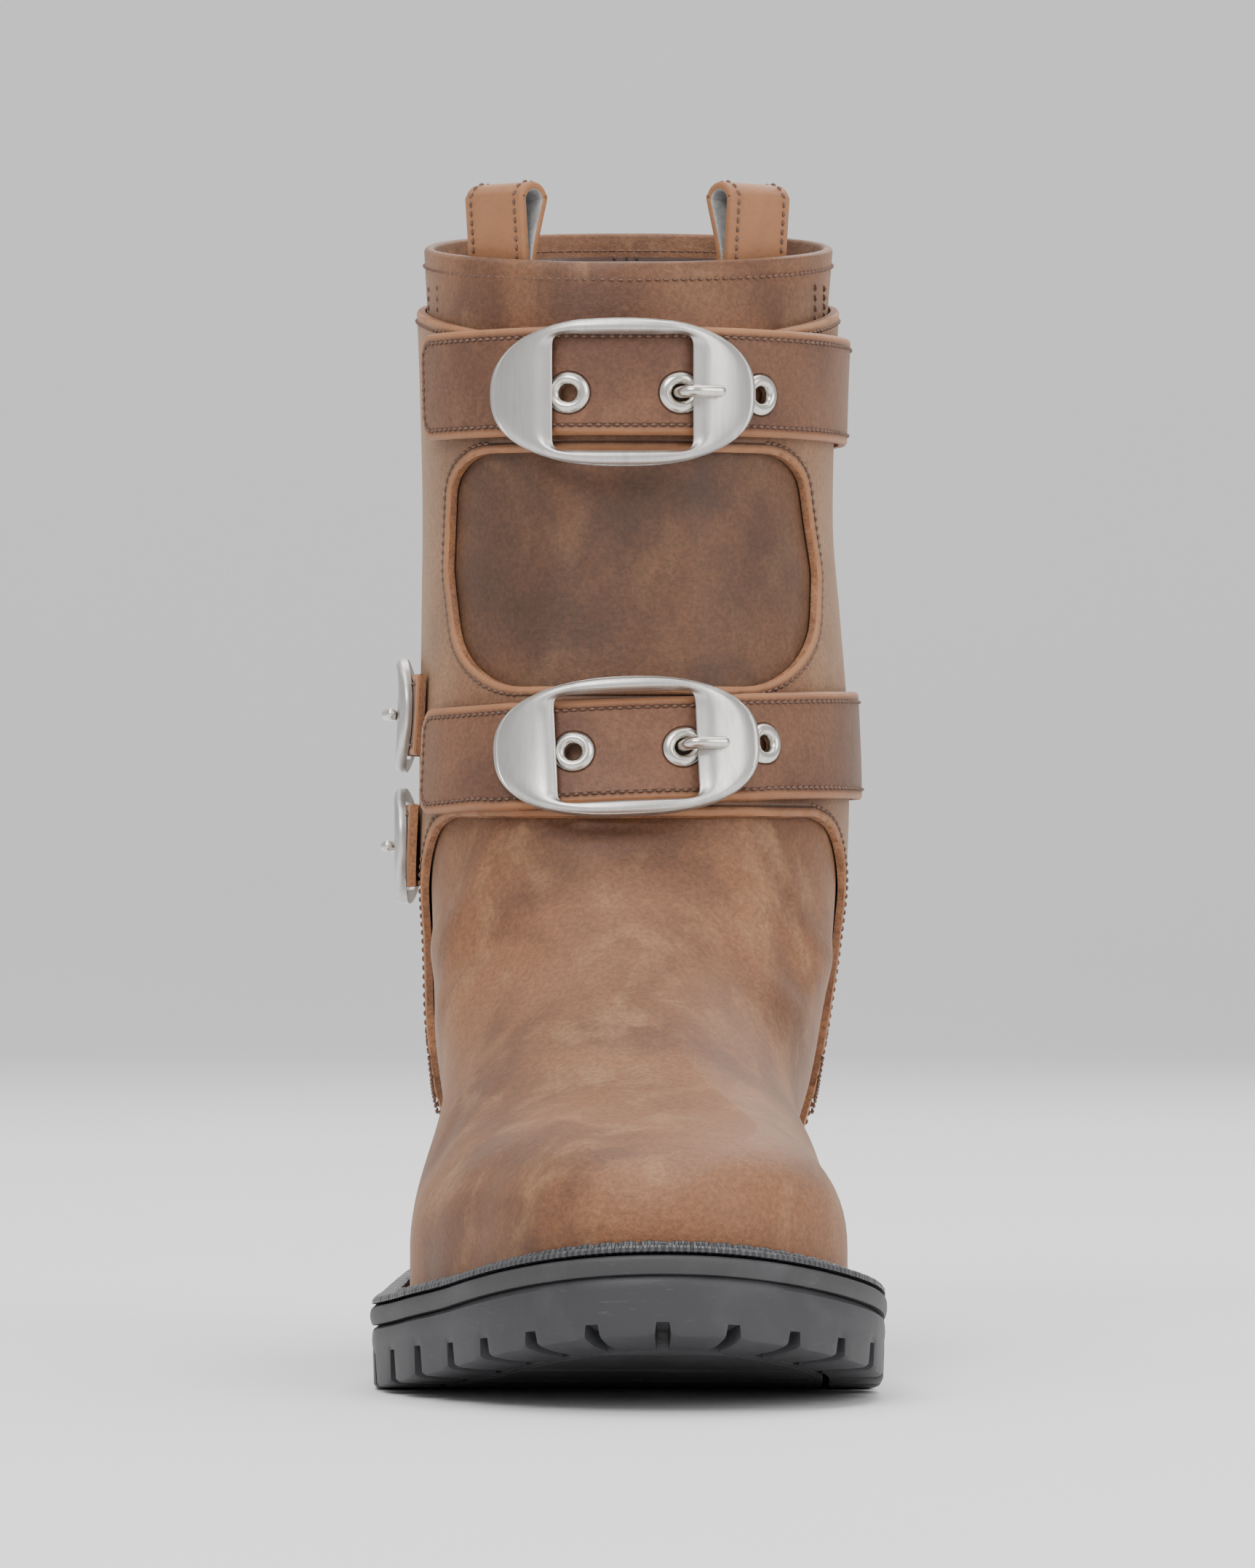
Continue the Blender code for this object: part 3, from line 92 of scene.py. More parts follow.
def curveThrough(places, heights, at):
    # monotone cubic through points, level past the ends
    places, heights = np.asarray(places, float), np.asarray(heights, float)
    steps = np.diff(places)
    slopes = np.diff(heights) / steps
    tangents = np.zeros_like(heights)
    before, after = slopes[:-1], slopes[1:]
    same = before * after > 0
    weightBefore, weightAfter = 2 * steps[1:] + steps[:-1], steps[1:] + 2 * steps[:-1]
    mean = (weightBefore + weightAfter) / (weightBefore / np.where(same, before, 1.0)
                                           + weightAfter / np.where(same, after, 1.0))
    tangents[1:-1] = np.where(same, mean, 0.0)
    tangents[0], tangents[-1] = slopes[0], slopes[-1]
    at = np.clip(np.asarray(at, float), places[0], places[-1])
    index = np.clip(np.searchsorted(places, at, side="right") - 1, 0, len(steps) - 1)
    part = (at - places[index]) / steps[index]
    rise = part * part * (3 - 2 * part)
    bend = part * (1 - part) * steps[index]
    return (heights[index] * (1 - rise) + heights[index + 1] * rise
            + bend * ((1 - part) * tangents[index] - part * tangents[index + 1]))


def superRound(value, power):
    # (1 - v^p)^(1/p): 1 at the middle, 0 at the rim
    value = np.clip(value, 0.0, 1.0)
    return (1 - value ** power) ** (1 / power)


def springAt(y):
    # the sole's lift towards the toe: a power of the way past the ball
    rollY = along(0.32)
    return soleSizes["spring"] * np.clip((rollY - y) / (rollY - toeY + 0.008), 0.0, 1.2) ** 1.55


def seatAt(y):
    # top of the midsole: sole thickness, toe spring and an eased rise over the arch
    arch = ease((y - along(0.38)) / (along(0.78) - along(0.38)))
    return soleSizes["thickness"] + springAt(y) + (soleSizes["heel"] - soleSizes["thickness"]) * arch


def sectionEnds():
    toeZ, heelZ = seatAt(toeY) + layers["skinGap"], seatAt(heelY) + layers["skinGap"]
    instepZ = toeZ + lastSizes["instep"]
    backY = heelY + lastSizes["length"] * np.append(footSections[:, 2], shaftSections[:, 2])
    backZ = heelZ + (collarBack - heelZ) * np.append(footSections[:, 3], shaftSections[:, 3])
    footY = toeY + lastSizes["length"] * footSections[:, 0]
    shaftY = backY[len(footY):] - shaftSizes["depth"] * shaftSections[:, 0]
    footZ = toeZ + lastSizes["instep"] * footSections[:, 1]
    shaftZ = instepZ + (shaftSizes["collarFront"] - instepZ) * shaftSections[:, 1]
    return np.append(footY, shaftY), np.append(footZ, shaftZ), backY, backZ


frontY, frontZ, backY, backZ = sectionEnds()
frontRun, backRun = np.hypot(np.diff(frontY), np.diff(frontZ)), np.hypot(np.diff(backY), np.diff(backZ))
sectionPlaces = np.append(0.0, np.cumsum(frontRun / frontRun.sum() + backRun / backRun.sum())) / 2
densePlace = np.linspace(0.0, 1.0, 1200)
denseFrontY, denseFrontZ = (curveThrough(sectionPlaces, frontY, densePlace),
                            curveThrough(sectionPlaces, frontZ, densePlace))
denseBackY, denseBackZ = (curveThrough(sectionPlaces, backY, densePlace),
                          curveThrough(sectionPlaces, backZ, densePlace))


def halfWidth(y, z, side):
    # foot: plan half width x rounded toe x domed section; shaft: table half width x two rounded ends
    share = (y - toeY) / lastSizes["length"]
    planHalf = np.where(side < 0, curveThrough(plan[:, 0], plan[:, 1], share),
                        curveThrough(plan[:, 0], plan[:, 2], share))
    turn = lastSizes["toeTurn"] * curveThrough(plan[:, 0], plan[:, 3], share)
    toeRound = superRound(1 - share / 0.22, 2.1)
    ridge = np.interp(y, denseFrontY, denseFrontZ)
    base = seatAt(y) + 0.24 * (ridge - seatAt(y))
    dome = superRound((z - base) / np.maximum(ridge - base, 1e-6), 2.5 - 0.6 * ease(share / 0.42))
    foot = lastSizes["ball"] * planHalf * toeRound * dome
    level = z / shaftSizes["collarFront"]
    shaftHalf = np.where(side < 0, curveThrough(shaftWidths[:, 0], shaftWidths[:, 1], level),
                         curveThrough(shaftWidths[:, 0], shaftWidths[:, 2], level))
    front, back = np.interp(z, denseFrontZ, denseFrontY), np.interp(z, denseBackZ, denseBackY)
    roundFront = 0.5 * shaftSizes["depth"]
    roundBack = (0.69 - 0.19 * ease((level - 0.25) / 0.35)) * shaftSizes["depth"]
    shaft = (shaftSizes["width"] * shaftHalf * superRound((front + roundFront - y) / roundFront, 2.1)
             * superRound((y - back + roundBack) / roundBack, 2.15))
    blend = ease((share - 0.42) / 0.22)
    return foot * (1 - blend) + shaft * blend, turn * (1 - blend)


middleShift = 0.0


def upperPoint(place, turn):
    # outside of the upper: place 0..1 from sole to collar, turn -pi..pi round it
    step = (1 - np.cos(turn)) / 2
    fy, fz = curveThrough(sectionPlaces, frontY, place), curveThrough(sectionPlaces, frontZ, place)
    by, bz = curveThrough(sectionPlaces, backY, place), curveThrough(sectionPlaces, backZ, place)
    y = fy + (by - fy) * step
    straight = frontZ[0] + (backZ[0] - frontZ[0]) * step
    follow = np.clip(1 - place / 0.42, 0.0, 1.0) ** 2
    z = fz + (bz - fz) * step + (seatAt(y) + layers["skinGap"] - straight) * follow
    side = np.where(np.sin(turn) < 0, -1.0, 1.0)
    width, ridge = halfWidth(y, z, side)
    return np.stack(np.broadcast_arrays(middleShift + ridge + side * width, y, z), axis=-1)


def shaftPoint(turn, z):
    # the same outside on a level cut
    front, back = np.interp(z, denseFrontZ, denseFrontY), np.interp(z, denseBackZ, denseBackY)
    y = front + (back - front) * (1 - np.cos(turn)) / 2
    side = np.where(np.sin(turn) < 0, -1.0, 1.0)
    width, ridge = halfWidth(y, z, side)
    return np.stack(np.broadcast_arrays(middleShift + ridge + side * width, y, z), axis=-1)


def unit(vectors):
    return vectors / np.maximum(np.linalg.norm(vectors, axis=-1, keepdims=True), 1e-12)


def lifted(points, first, second, lift, outward):
    # a point plus lift times the cross product of the steps in both values
    step = 2e-3
    normal = np.cross(points(first + step, second) - points(first - step, second),
                      points(first, second + step) - points(first, second - step)) * outward
    return points(first, second) + unit(normal) * np.asarray(lift)[..., None]


def upperSurface(place, turn, lift):
    inner = np.clip(place, 3e-3, 1 - 3e-3)
    move = upperPoint(place, turn) - upperPoint(inner, turn)
    return lifted(upperPoint, inner, turn, lift, -1.0) + move


def shaftSurface(turn, z, lift):
    return lifted(shaftPoint, turn, z, lift, 1.0)


def frontTurn(x, z, lift=0.0):
    # halving finds the turn whose lifted point shows at x from the front
    low = np.full(np.broadcast(x, z).shape, -0.56 * math.pi)
    high = -low
    for _ in range(26):
        middle = (low + high) / 2
        beyond = shaftSurface(middle, z, lift)[..., 0] > x
        high, low = np.where(beyond, middle, high), np.where(beyond, low, middle)
    return (low + high) / 2


def onFront(x, z, lift):
    x, z, lift = np.broadcast_arrays(x, z, lift)
    return shaftSurface(frontTurn(x, z, lift), z, lift)


def onSide(y, z, lift):
    y, z, lift = np.broadcast_arrays(y, z, lift)
    front, back = np.interp(z, denseFrontZ, denseFrontY), np.interp(z, denseBackZ, denseBackY)
    share = np.clip((y - front) / (back - front), 0.0, 1.0)
    return shaftSurface(-np.arccos(1 - 2 * share), z, lift)


def soleOutline(turn, inset=0.0):
    # the upper's edge pushed out by the welt's reach
    def foot(at):
        return upperPoint(np.zeros_like(at), at)[..., :2]
    way = unit(foot(turn + 2e-3) - foot(turn - 2e-3))
    outward = np.stack((way[..., 1], -way[..., 0]), axis=-1)
    reach = curveThrough(weltReach[:, 0], weltReach[:, 1], (1 - np.cos(turn)) / 2) - inset
    return foot(turn) + outward * np.asarray(reach)[..., None]


soleEdge = soleOutline(np.linspace(-math.pi, math.pi, 721))
middleShift = -float(soleEdge[:, 0].min() + soleEdge[:, 0].max()) / 2
print("last worked out, shift", middleShift)


# Meshes
def gridQuads(rows, columns, wrapRows=False, wrapColumns=False):
    # quads between neighbours of a grid stored row by row
    r, c = np.meshgrid(np.arange(rows if wrapRows else rows - 1),
                       np.arange(columns if wrapColumns else columns - 1), indexing="ij")
    r2, c2 = (r + 1) % rows, (c + 1) % columns
    corners = (r * columns + c, r * columns + c2, r2 * columns + c2, r2 * columns + c)
    return np.stack(corners, -1).reshape(-1, 4)


def cappedQuads(rows, columns):
    # a tube of rings, closed by one face at each end
    ends = [list(range(columns)), [rows * columns - 1 - i for i in range(columns)]]
    return gridQuads(rows, columns, wrapColumns=True).tolist() + ends


def makePiece(name, points, faces, materials, faceMaterial=None, values=None, uv=None, angle=50.0):
    # points and faces into one mesh, doubles merged, faces turned out; values are point attributes
    mesh = bpy.data.meshes.new(name)
    points = np.asarray(points, float).reshape(-1, 3)
    mesh.from_pydata(points, [], faces.tolist() if isinstance(faces, np.ndarray) else faces)
    for key, data in (values or {}).items():
        attribute = mesh.attributes.new(key, "FLOAT", "POINT")
        attribute.data.foreach_set("value", np.asarray(data, np.float32).ravel())
    if faceMaterial is not None:
        mesh.polygons.foreach_set("material_index", np.asarray(faceMaterial, np.int32))
    if uv is not None:
        layer = mesh.uv_layers.new(name="surface")
        loops = np.empty(len(mesh.loops), np.int32)
        mesh.loops.foreach_get("vertex_index", loops)
        layer.data.foreach_set("uv", np.asarray(uv, np.float32).reshape(-1, 2)[loops].ravel())
    edit = bmesh.new()
    edit.from_mesh(mesh)
    bmesh.ops.remove_doubles(edit, verts=edit.verts, dist=2e-6)
    bmesh.ops.dissolve_degenerate(edit, edges=edit.edges, dist=1e-7)
    bmesh.ops.recalc_face_normals(edit, faces=edit.faces)
    edit.to_mesh(mesh)
    edit.free()
    mesh.shade_smooth()
    mesh.set_sharp_from_angle(angle=math.radians(angle))
    for material in materials:
        mesh.materials.append(material)
    piece = bpy.data.objects.new(name, mesh)
    bpy.context.scene.collection.objects.link(piece)
    return piece


def outlineDistance(outline, u, v):
    # distance to a closed outline, negative inside it
    shape = np.shape(u)
    p = np.stack((np.ravel(u), np.ravel(v)), -1)[:, None]
    start, end = outline[None], np.roll(outline, -1, 0)[None]
    way = end - start
    t = np.clip(((p - start) * way).sum(-1) / (way ** 2).sum(-1), 0, 1)
    near = np.sqrt(((p - start - t[..., None] * way) ** 2).sum(-1).min(1))
    over = (start[..., 1] > p[..., 1]) != (end[..., 1] > p[..., 1])
    rise = np.where(np.abs(way[..., 1]) < 1e-12, 1e-12, way[..., 1])
    crossX = start[..., 0] + (p[..., 1] - start[..., 1]) / rise * way[..., 0]
    odd = (over & (p[..., 0] < crossX)).sum(1) % 2 == 1
    return np.where(odd, -near, near).reshape(shape)


def softLine(points, steps=8, closed=False):
    # Catmull-Rom curve through points
    points = np.asarray(points, float)
    if closed:
        padded = np.concatenate((points[-1:], points, points[:2]))
    else:
        padded = np.concatenate((2 * points[:1] - points[1:2], points, 2 * points[-1:] - points[-2:-1]))
    t = np.linspace(0, 1, steps, endpoint=False)[:, None]
    parts = []
    for a, b, c, d in zip(padded, padded[1:], padded[2:], padded[3:]):
        parts.append(0.5 * (2 * b + (c - a) * t + (2 * a - 5 * b + 4 * c - d) * t ** 2
                            + (3 * b - a - 3 * c + d) * t ** 3))
    line = np.concatenate(parts)
    return line if closed else np.concatenate((line, points[-1:]))


def rounded(corners, radii, steps=10):
    # an outline whose corners are arcs tangent to both sides
    corners = np.asarray(corners, float)
    outline = []
    for index, corner in enumerate(corners):
        before, after = unit(corners[index - 1] - corner), unit(corners[(index + 1) % len(corners)] - corner)
        half = math.acos(np.clip(np.dot(before, after), -1, 1)) / 2
        centre = corner + unit(before + after) * radii[index] / math.sin(half)
        start = corner + before * radii[index] / math.tan(half) - centre
        end = corner + after * radii[index] / math.tan(half) - centre
        first = math.atan2(start[1], start[0])
        sweep = (math.atan2(end[1], end[0]) - first + math.pi) % (2 * math.pi) - math.pi
        angles = first + sweep * np.linspace(0, 1, steps + 1)
        outline.append(centre + radii[index] * np.stack((np.cos(angles), np.sin(angles)), -1))
    return np.concatenate(outline)


def evenSteps(outline, step=0.0006):
    # more points along each straight side of an open outline
    return np.concatenate([a + (b - a) * np.linspace(0, 1, max(int(np.hypot(*(b - a)) / step), 2),
                                                     endpoint=False)[:, None]
                           for a, b in zip(outline, outline[1:])])


def offsetLine(line, distance, closed=True):
    # moves a line along its own normals
    ways = np.roll(line, -1, 0) - np.roll(line, 1, 0)
    if not closed:
        ways[0], ways[-1] = line[1] - line[0], line[-1] - line[-2]
    ways = unit(ways)
    return line + distance * np.stack((ways[:, 1], -ways[:, 0]), -1)


def cutGrid(first, second, wrap, field, metric):
    # keeps the cells with a point where field > 0 and moves their outer points onto field = 0
    a, b = np.meshgrid(first, second, indexing="ij")
    inside = field(a, b) > 0
    near = np.zeros_like(inside)
    for stepA in (-1, 0, 1):
        for stepB in (-1, 0, 1):
            moved = np.roll(inside, (stepA, stepB), (0, 1))
            if stepA and not wrap:
                moved[0 if stepA > 0 else -1] = False
            if stepB:
                moved[:, 0 if stepB > 0 else -1] = False
            near |= moved
    border = near & ~inside
    ea, eb = a[border], b[border]
    size = 2e-4
    for _ in range(6):
        value = field(ea, eb)
        byA = (field(ea + size / metric[0], eb) - value) / size
        byB = (field(ea, eb + size / metric[1]) - value) / size
        scale = value / np.maximum(byA ** 2 + byB ** 2, 0.05)
        ea, eb = ea - scale * byA / metric[0], eb - scale * byB / metric[1]
    a[border], b[border] = ea, eb
    quads = gridQuads(len(first), len(second), wrapRows=wrap)
    quads = quads[inside.ravel()[quads].any(1)]
    return a.ravel(), b.ravel(), quads


def leatherSheet(name, surface, first, second, wrap, field, metric, low, high, materials, toneAndPaintedLight=None):
    # a cut grid lifted twice, with a rounded rim between: a sheet of leather of real thickness
    a, b, quads = cutGrid(first, second, wrap, field, metric)
    used, index = np.unique(quads, return_inverse=True)
    quads = index.reshape(-1, 4)
    a, b = a[used], b[used]
    edge = np.maximum(field(a, b), 0.0)
    pairs = np.sort(np.stack((quads, np.roll(quads, -1, 1)), -1).reshape(-1, 2), 1)
    pairs, counts = np.unique(pairs, axis=0, return_counts=True)
    rim = pairs[counts == 1]
    onRim = np.zeros(len(a), bool)
    onRim[rim.ravel()] = True
    thick = high - low
    top = surface(a, b, np.where(onRim, high - 0.22 * thick, high))
    bottom = surface(a, b, np.full(len(a), low))
    count = len(a)
    faces = np.concatenate((quads, quads[:, ::-1] + count,
                            np.stack((rim[:, 0], rim[:, 1], rim[:, 1] + count, rim[:, 0] + count), -1)))
    kinds = np.concatenate((np.zeros(len(quads)), np.ones(len(quads)), np.full(len(rim), len(materials) - 1)))
    kinds = np.minimum(kinds, len(materials) - 1)
    points = np.concatenate((top, bottom))
    values = {"edge": np.concatenate((edge, edge)), "toneAndPaintedLight": np.zeros(2 * count)}
    if toneAndPaintedLight is not None:
        values["toneAndPaintedLight"] = toneAndPaintedLight(points)
    return makePiece(name, points, faces, materials, kinds, values, angle=55.0)


# Materials
def graph(name):
    material = bpy.data.materials.new(name)
    material.use_nodes = True
    return material, material.node_tree.nodes["Principled BSDF"]


def add(material, kind, settings=None, **inputs):
    # one node; inputs are numbers, colours or other nodes' outputs
    tree = material.node_tree
    node = tree.nodes.new(kind)
    for key, value in (settings or {}).items():
        setattr(node, key, value)
    for key, value in inputs.items():
        socket = node.inputs[int(key[1:])] if key[0] == "i" and key[1:].isdigit() else node.inputs[key]
        if isinstance(value, bpy.types.NodeSocket):
            tree.links.new(value, socket)
        else:
            socket.default_value = value
    return node


def calc(material, operation, first, second=0.0, third=0.0, clamp=False):
    return add(material, "ShaderNodeMath", {"operation": operation, "use_clamp": clamp},
               i0=first, i1=second, i2=third).outputs[0]


def blendColor(material, factor, first, second, kind="MIX"):
    node = add(material, "ShaderNodeMix", {"data_type": "RGBA", "blend_type": kind},
               i0=factor, i6=first, i7=second)
    return node.outputs[2]


def noise(material, coordinates, scale, detail=3.0, roughness=0.5, distortion=0.0):
    return add(material, "ShaderNodeTexNoise", None, Vector=coordinates, Scale=scale, Detail=detail,
               Roughness=roughness, Distortion=distortion).outputs[0]


def span(material, value, low, high, toLow=0.0, toHigh=1.0):
    # eased ramp of a value between two limits
    return add(material, "ShaderNodeMapRange", {"interpolation_type": "SMOOTHSTEP"},
               i0=value, i1=low, i2=high, i3=toLow, i4=toHigh).outputs[0]


def spread(material, coordinates, scales):
    return add(material, "ShaderNodeMapping", None, Vector=coordinates, Scale=scales).outputs[0]


def band(material, value, centre, half):
    # 1 on a line at centre, falling to 0 at half
    away = calc(material, "ABSOLUTE", calc(material, "SUBTRACT", value, centre))
    return span(material, away, 0.0, half, 1.0, 0.0)


def finish(material, shader, color, height, rough, strength=1.0):
    # colour, a bump from a height in metres, and roughness into the shader
    links = material.node_tree.links
    bump = add(material, "ShaderNodeBump", None, Strength=strength, Distance=1.0, Height=height).outputs[0]
    links.new(color, shader.inputs["Base Color"])
    links.new(bump, shader.inputs["Normal"])
    if isinstance(rough, float):
        shader.inputs["Roughness"].default_value = rough
    else:
        links.new(rough, shader.inputs["Roughness"])


# deep is the dark of tone, fibres and painted shade; tan is the colour of painted sheen
leatherLook = {
    "deep": (0.040, 0.018, 0.011, 1), "brown": (0.150, 0.060, 0.026, 1), "warm": (0.235, 0.098, 0.040, 1),
    "tan": (0.270, 0.150, 0.080, 1), "burnish": (0.330, 0.140, 0.058, 1), "stitchDepth": 0.0023,
}


def waxedLeather(name, dark, base, light, tanPart=0.5, edged=True, sheen=0.12, bumpScale=1.0):
    # mottled pull-up leather: three sizes of noise mix the colours, an attribute adds dark tone, painted
    # shade and painted sheen, fine nap and grain make the bump
    m, shader = graph(name)
    coordinates = add(m, "ShaderNodeTexCoord").outputs["Object"]
    large = noise(m, coordinates, 21.0, 3.0, 0.55, 0.7)
    middle = noise(m, spread(m, coordinates, (1.0, 1.0, 0.7)), 75.0, 4.0, 0.6, 0.4)
    nap = noise(m, coordinates, 900.0, 4.0, 0.65)
    grain = noise(m, coordinates, 2600.0, 2.0, 0.5)
    wrinkle = noise(m, spread(m, coordinates, (1.0, 1.0, 1.7)), 260.0, 3.0, 0.55, 0.3)
    color = blendColor(m, span(m, large, 0.36, 0.62), dark, base)
    color = blendColor(m, calc(m, "MULTIPLY", span(m, middle, 0.48, 0.72), tanPart), color, light)
    # above zero this darkens: darker leather in places, and painted shade under the lower strap
    toneAndPaintedLight = add(m, "ShaderNodeAttribute", {"attribute_name": "toneAndPaintedLight"}).outputs["Fac"]
    mottledDarkAndShade = calc(m, "MULTIPLY", toneAndPaintedLight, span(m, large, 0.25, 0.65, 1.0, 0.72))
    color = blendColor(m, calc(m, "MAXIMUM", mottledDarkAndShade, 0.0, clamp=True), color, leatherLook["deep"])
    # below zero it mixes in tan: painted sheen where the light glances on the sides
    paintedSheenMask = calc(m, "MULTIPLY", calc(m, "MULTIPLY", toneAndPaintedLight, -1.0, clamp=True),
                   span(m, middle, 0.2, 0.7, 0.75, 1.0))
    color = blendColor(m, paintedSheenMask, color, leatherLook["tan"])
    speck = span(m, nap, 0.30, 0.72, 0.80, 1.24)
    fine = span(m, grain, 0.25, 0.75, 0.90, 1.10)
    color = blendColor(m, 1.0, color, add(m, "ShaderNodeCombineColor", None,
                       i0=calc(m, "MULTIPLY", speck, fine), i1=calc(m, "MULTIPLY", speck, fine),
                       i2=calc(m, "MULTIPLY", speck, fine)).outputs[0], "MULTIPLY")
    height = calc(m, "MULTIPLY", nap, 0.00010 * bumpScale)
    height = calc(m, "MULTIPLY_ADD", grain, 0.00005 * bumpScale, height)
    height = calc(m, "MULTIPLY_ADD", wrinkle, 0.00022 * bumpScale, height)
    if edged:
        edge = add(m, "ShaderNodeAttribute", {"attribute_name": "edge"}).outputs["Fac"]
        lip = span(m, edge, 0.0006, leatherLook["stitchDepth"] - 0.0002, 1.0, 0.0)
        color = blendColor(m, calc(m, "MULTIPLY", lip, span(m, middle, 0.2, 0.7, 0.55, 0.95)), color,
                           leatherLook["burnish"])
        # the stitch groove is pressed in by the bump and darkened with painted shade
        groove = band(m, edge, leatherLook["stitchDepth"], 0.0005)
        color = blendColor(m, calc(m, "MULTIPLY", groove, 0.75), color, leatherLook["deep"])
        puff = band(m, edge, 0.0011, 0.0012)
        height = calc(m, "MULTIPLY_ADD", puff, 0.00030, height)
        height = calc(m, "MULTIPLY_ADD", groove, -0.00030, height)
    rough = calc(m, "MULTIPLY_ADD", middle, 0.22, calc(m, "MULTIPLY_ADD", nap, 0.14, 0.40))
    finish(m, shader, color, height, rough)
    shader.inputs["Specular IOR Level"].default_value = 0.42
    shader.inputs["Sheen Weight"].default_value = sheen
    shader.inputs["Sheen Roughness"].default_value = 0.45
    shader.inputs["Sheen Tint"].default_value = (0.9, 0.72, 0.55, 1)
    return m


def rawEdge(name, tone):
    # cut leather edge: fibre layers seen as fine streaks
    m, shader = graph(name)
    coordinates = add(m, "ShaderNodeTexCoord").outputs["Object"]
    fibre = noise(m, coordinates, 1500.0, 3.0, 0.6)
    patch = noise(m, coordinates, 120.0, 3.0, 0.5)
    color = blendColor(m, span(m, patch, 0.35, 0.65), tone, leatherLook["burnish"])
    color = blendColor(m, span(m, fibre, 0.35, 0.7, 0.0, 0.5), color, leatherLook["deep"])
    finish(m, shader, color, calc(m, "MULTIPLY", fibre, 0.00012), 0.7)
    return m


def mouldedRubber(name, tone, gloss, ribs=False, grainHeight=0.00005):
    # black rubber: mould grain, faint dust, and where asked ribs across the run of its map
    m, shader = graph(name)
    coordinates = add(m, "ShaderNodeTexCoord").outputs["Object"]
    grain = noise(m, coordinates, 1900.0, 3.0, 0.6)
    dust = noise(m, coordinates, 60.0, 4.0, 0.6, 0.6)
    scuff = noise(m, spread(m, coordinates, (1.0, 1.0, 6.0)), 160.0, 4.0, 0.7, 0.4)
    color = blendColor(m, span(m, dust, 0.42, 0.75, 0.0, 0.55), tone, tuple(1.9 * v for v in tone[:3]) + (1,))
    color = blendColor(m, span(m, scuff, 0.60, 0.78, 0.0, 0.35), color, (0.13, 0.125, 0.12, 1))
    height = calc(m, "MULTIPLY", grain, grainHeight)
    height = calc(m, "MULTIPLY_ADD", scuff, 0.00006, height)
    if ribs:
        run = add(m, "ShaderNodeSeparateXYZ", None, i0=add(m, "ShaderNodeTexCoord").outputs["UV"]).outputs[0]
        wave = calc(m, "SINE", calc(m, "MULTIPLY", run, 2 * math.pi * 100.0 / 1.55))
        across = span(m, calc(m, "MULTIPLY_ADD", grain, 0.5, wave), -0.5, 0.7)
        height = calc(m, "MULTIPLY_ADD", across, 0.00022, height)
        color = blendColor(m, calc(m, "MULTIPLY", across, 0.35), color, (0.115, 0.115, 0.12, 1))
    finish(m, shader, color, height, calc(m, "MULTIPLY_ADD", dust, 0.25, gloss))
    shader.inputs["Specular IOR Level"].default_value = 0.5
    return m


def oldNickel(name, tone, gloss, brushed=True, tarnish=0.35):
    # plated metal: long brush lines up and down, smoky tarnish and small scratches
    m, shader = graph(name)
    coordinates = add(m, "ShaderNodeTexCoord").outputs["Object"]
    lines = noise(m, spread(m, coordinates, (1.0, 1.0, 0.06)), 1500.0, 3.0, 0.6)
    smoke = noise(m, spread(m, coordinates, (1.6, 1.0, 0.6)), 70.0, 3.0, 0.55, 0.8)
    scratch = noise(m, spread(m, coordinates, (0.25, 1.0, 1.2)), 900.0, 2.0, 0.8)
    color = blendColor(m, span(m, smoke, 0.50, 0.72, 0.0, tarnish), tone, (0.20, 0.19, 0.18, 1))
    color = blendColor(m, span(m, lines, 0.35, 0.7, 0.0, 0.22), color, (0.34, 0.32, 0.30, 1))
    height = calc(m, "MULTIPLY", lines, 0.000012 if brushed else 0.000003)
    height = calc(m, "MULTIPLY_ADD", scratch, 0.000008, height)
    height = calc(m, "MULTIPLY_ADD", smoke, 0.00004 if brushed else 0.0, height)
    rough = calc(m, "MULTIPLY_ADD", smoke, 0.18, calc(m, "MULTIPLY_ADD", lines, 0.10, gloss))
    finish(m, shader, color, height, rough, strength=0.9)
    shader.inputs["Metallic"].default_value = 1.0
    return m


def twistedThread(name, tone):
    # waxed thread: a fine slanted twist
    m, shader = graph(name)
    coordinates = add(m, "ShaderNodeTexCoord").outputs["Object"]
    twist = noise(m, coordinates, 2400.0, 2.0, 0.5)
    color = blendColor(m, span(m, twist, 0.35, 0.65), tone, tuple(2.2 * v for v in tone[:3]) + (1,))
    finish(m, shader, color, calc(m, "MULTIPLY", twist, 0.00006), 0.55)
    return m


def napped(name, tone, light, fleck):
    # suede or felt: short fibres as fine noise in colour and height
    m, shader = graph(name)
    coordinates = add(m, "ShaderNodeTexCoord").outputs["Object"]
    fibre = noise(m, coordinates, 2200.0, 4.0, 0.7)
    brushedWay = noise(m, coordinates, 160.0, 3.0, 0.6, 1.0)
    color = blendColor(m, span(m, brushedWay, 0.35, 0.7, 0.0, 0.7), tone, light)
    color = blendColor(m, span(m, fibre, 0.55, 0.75, 0.0, fleck), color, (0.8, 0.8, 0.8, 1))
    finish(m, shader, color, calc(m, "MULTIPLY", fibre, 0.00016), 0.8)
    shader.inputs["Sheen Weight"].default_value = 0.3
    return m


def smoothLining(name):
    # lining leather: nearly even dark brown with a tight pore grain
    m, shader = graph(name)
    coordinates = add(m, "ShaderNodeTexCoord").outputs["Object"]
    pores = noise(m, coordinates, 1300.0, 3.0, 0.6)
    cloud = noise(m, coordinates, 40.0, 3.0, 0.5)
    color = blendColor(m, span(m, cloud, 0.35, 0.7), (0.060, 0.032, 0.026, 1), (0.095, 0.052, 0.042, 1))
    seam = add(m, "ShaderNodeAttribute", {"attribute_name": "edge"}).outputs["Fac"]
    line = band(m, seam, 0.0, 0.0006)
    color = blendColor(m, calc(m, "MULTIPLY", line, 0.8), color, (0.012, 0.008, 0.007, 1))
    height = calc(m, "MULTIPLY_ADD", pores, 0.00006, calc(m, "MULTIPLY", line, -0.0004))
    finish(m, shader, color, height, 0.38)
    return m


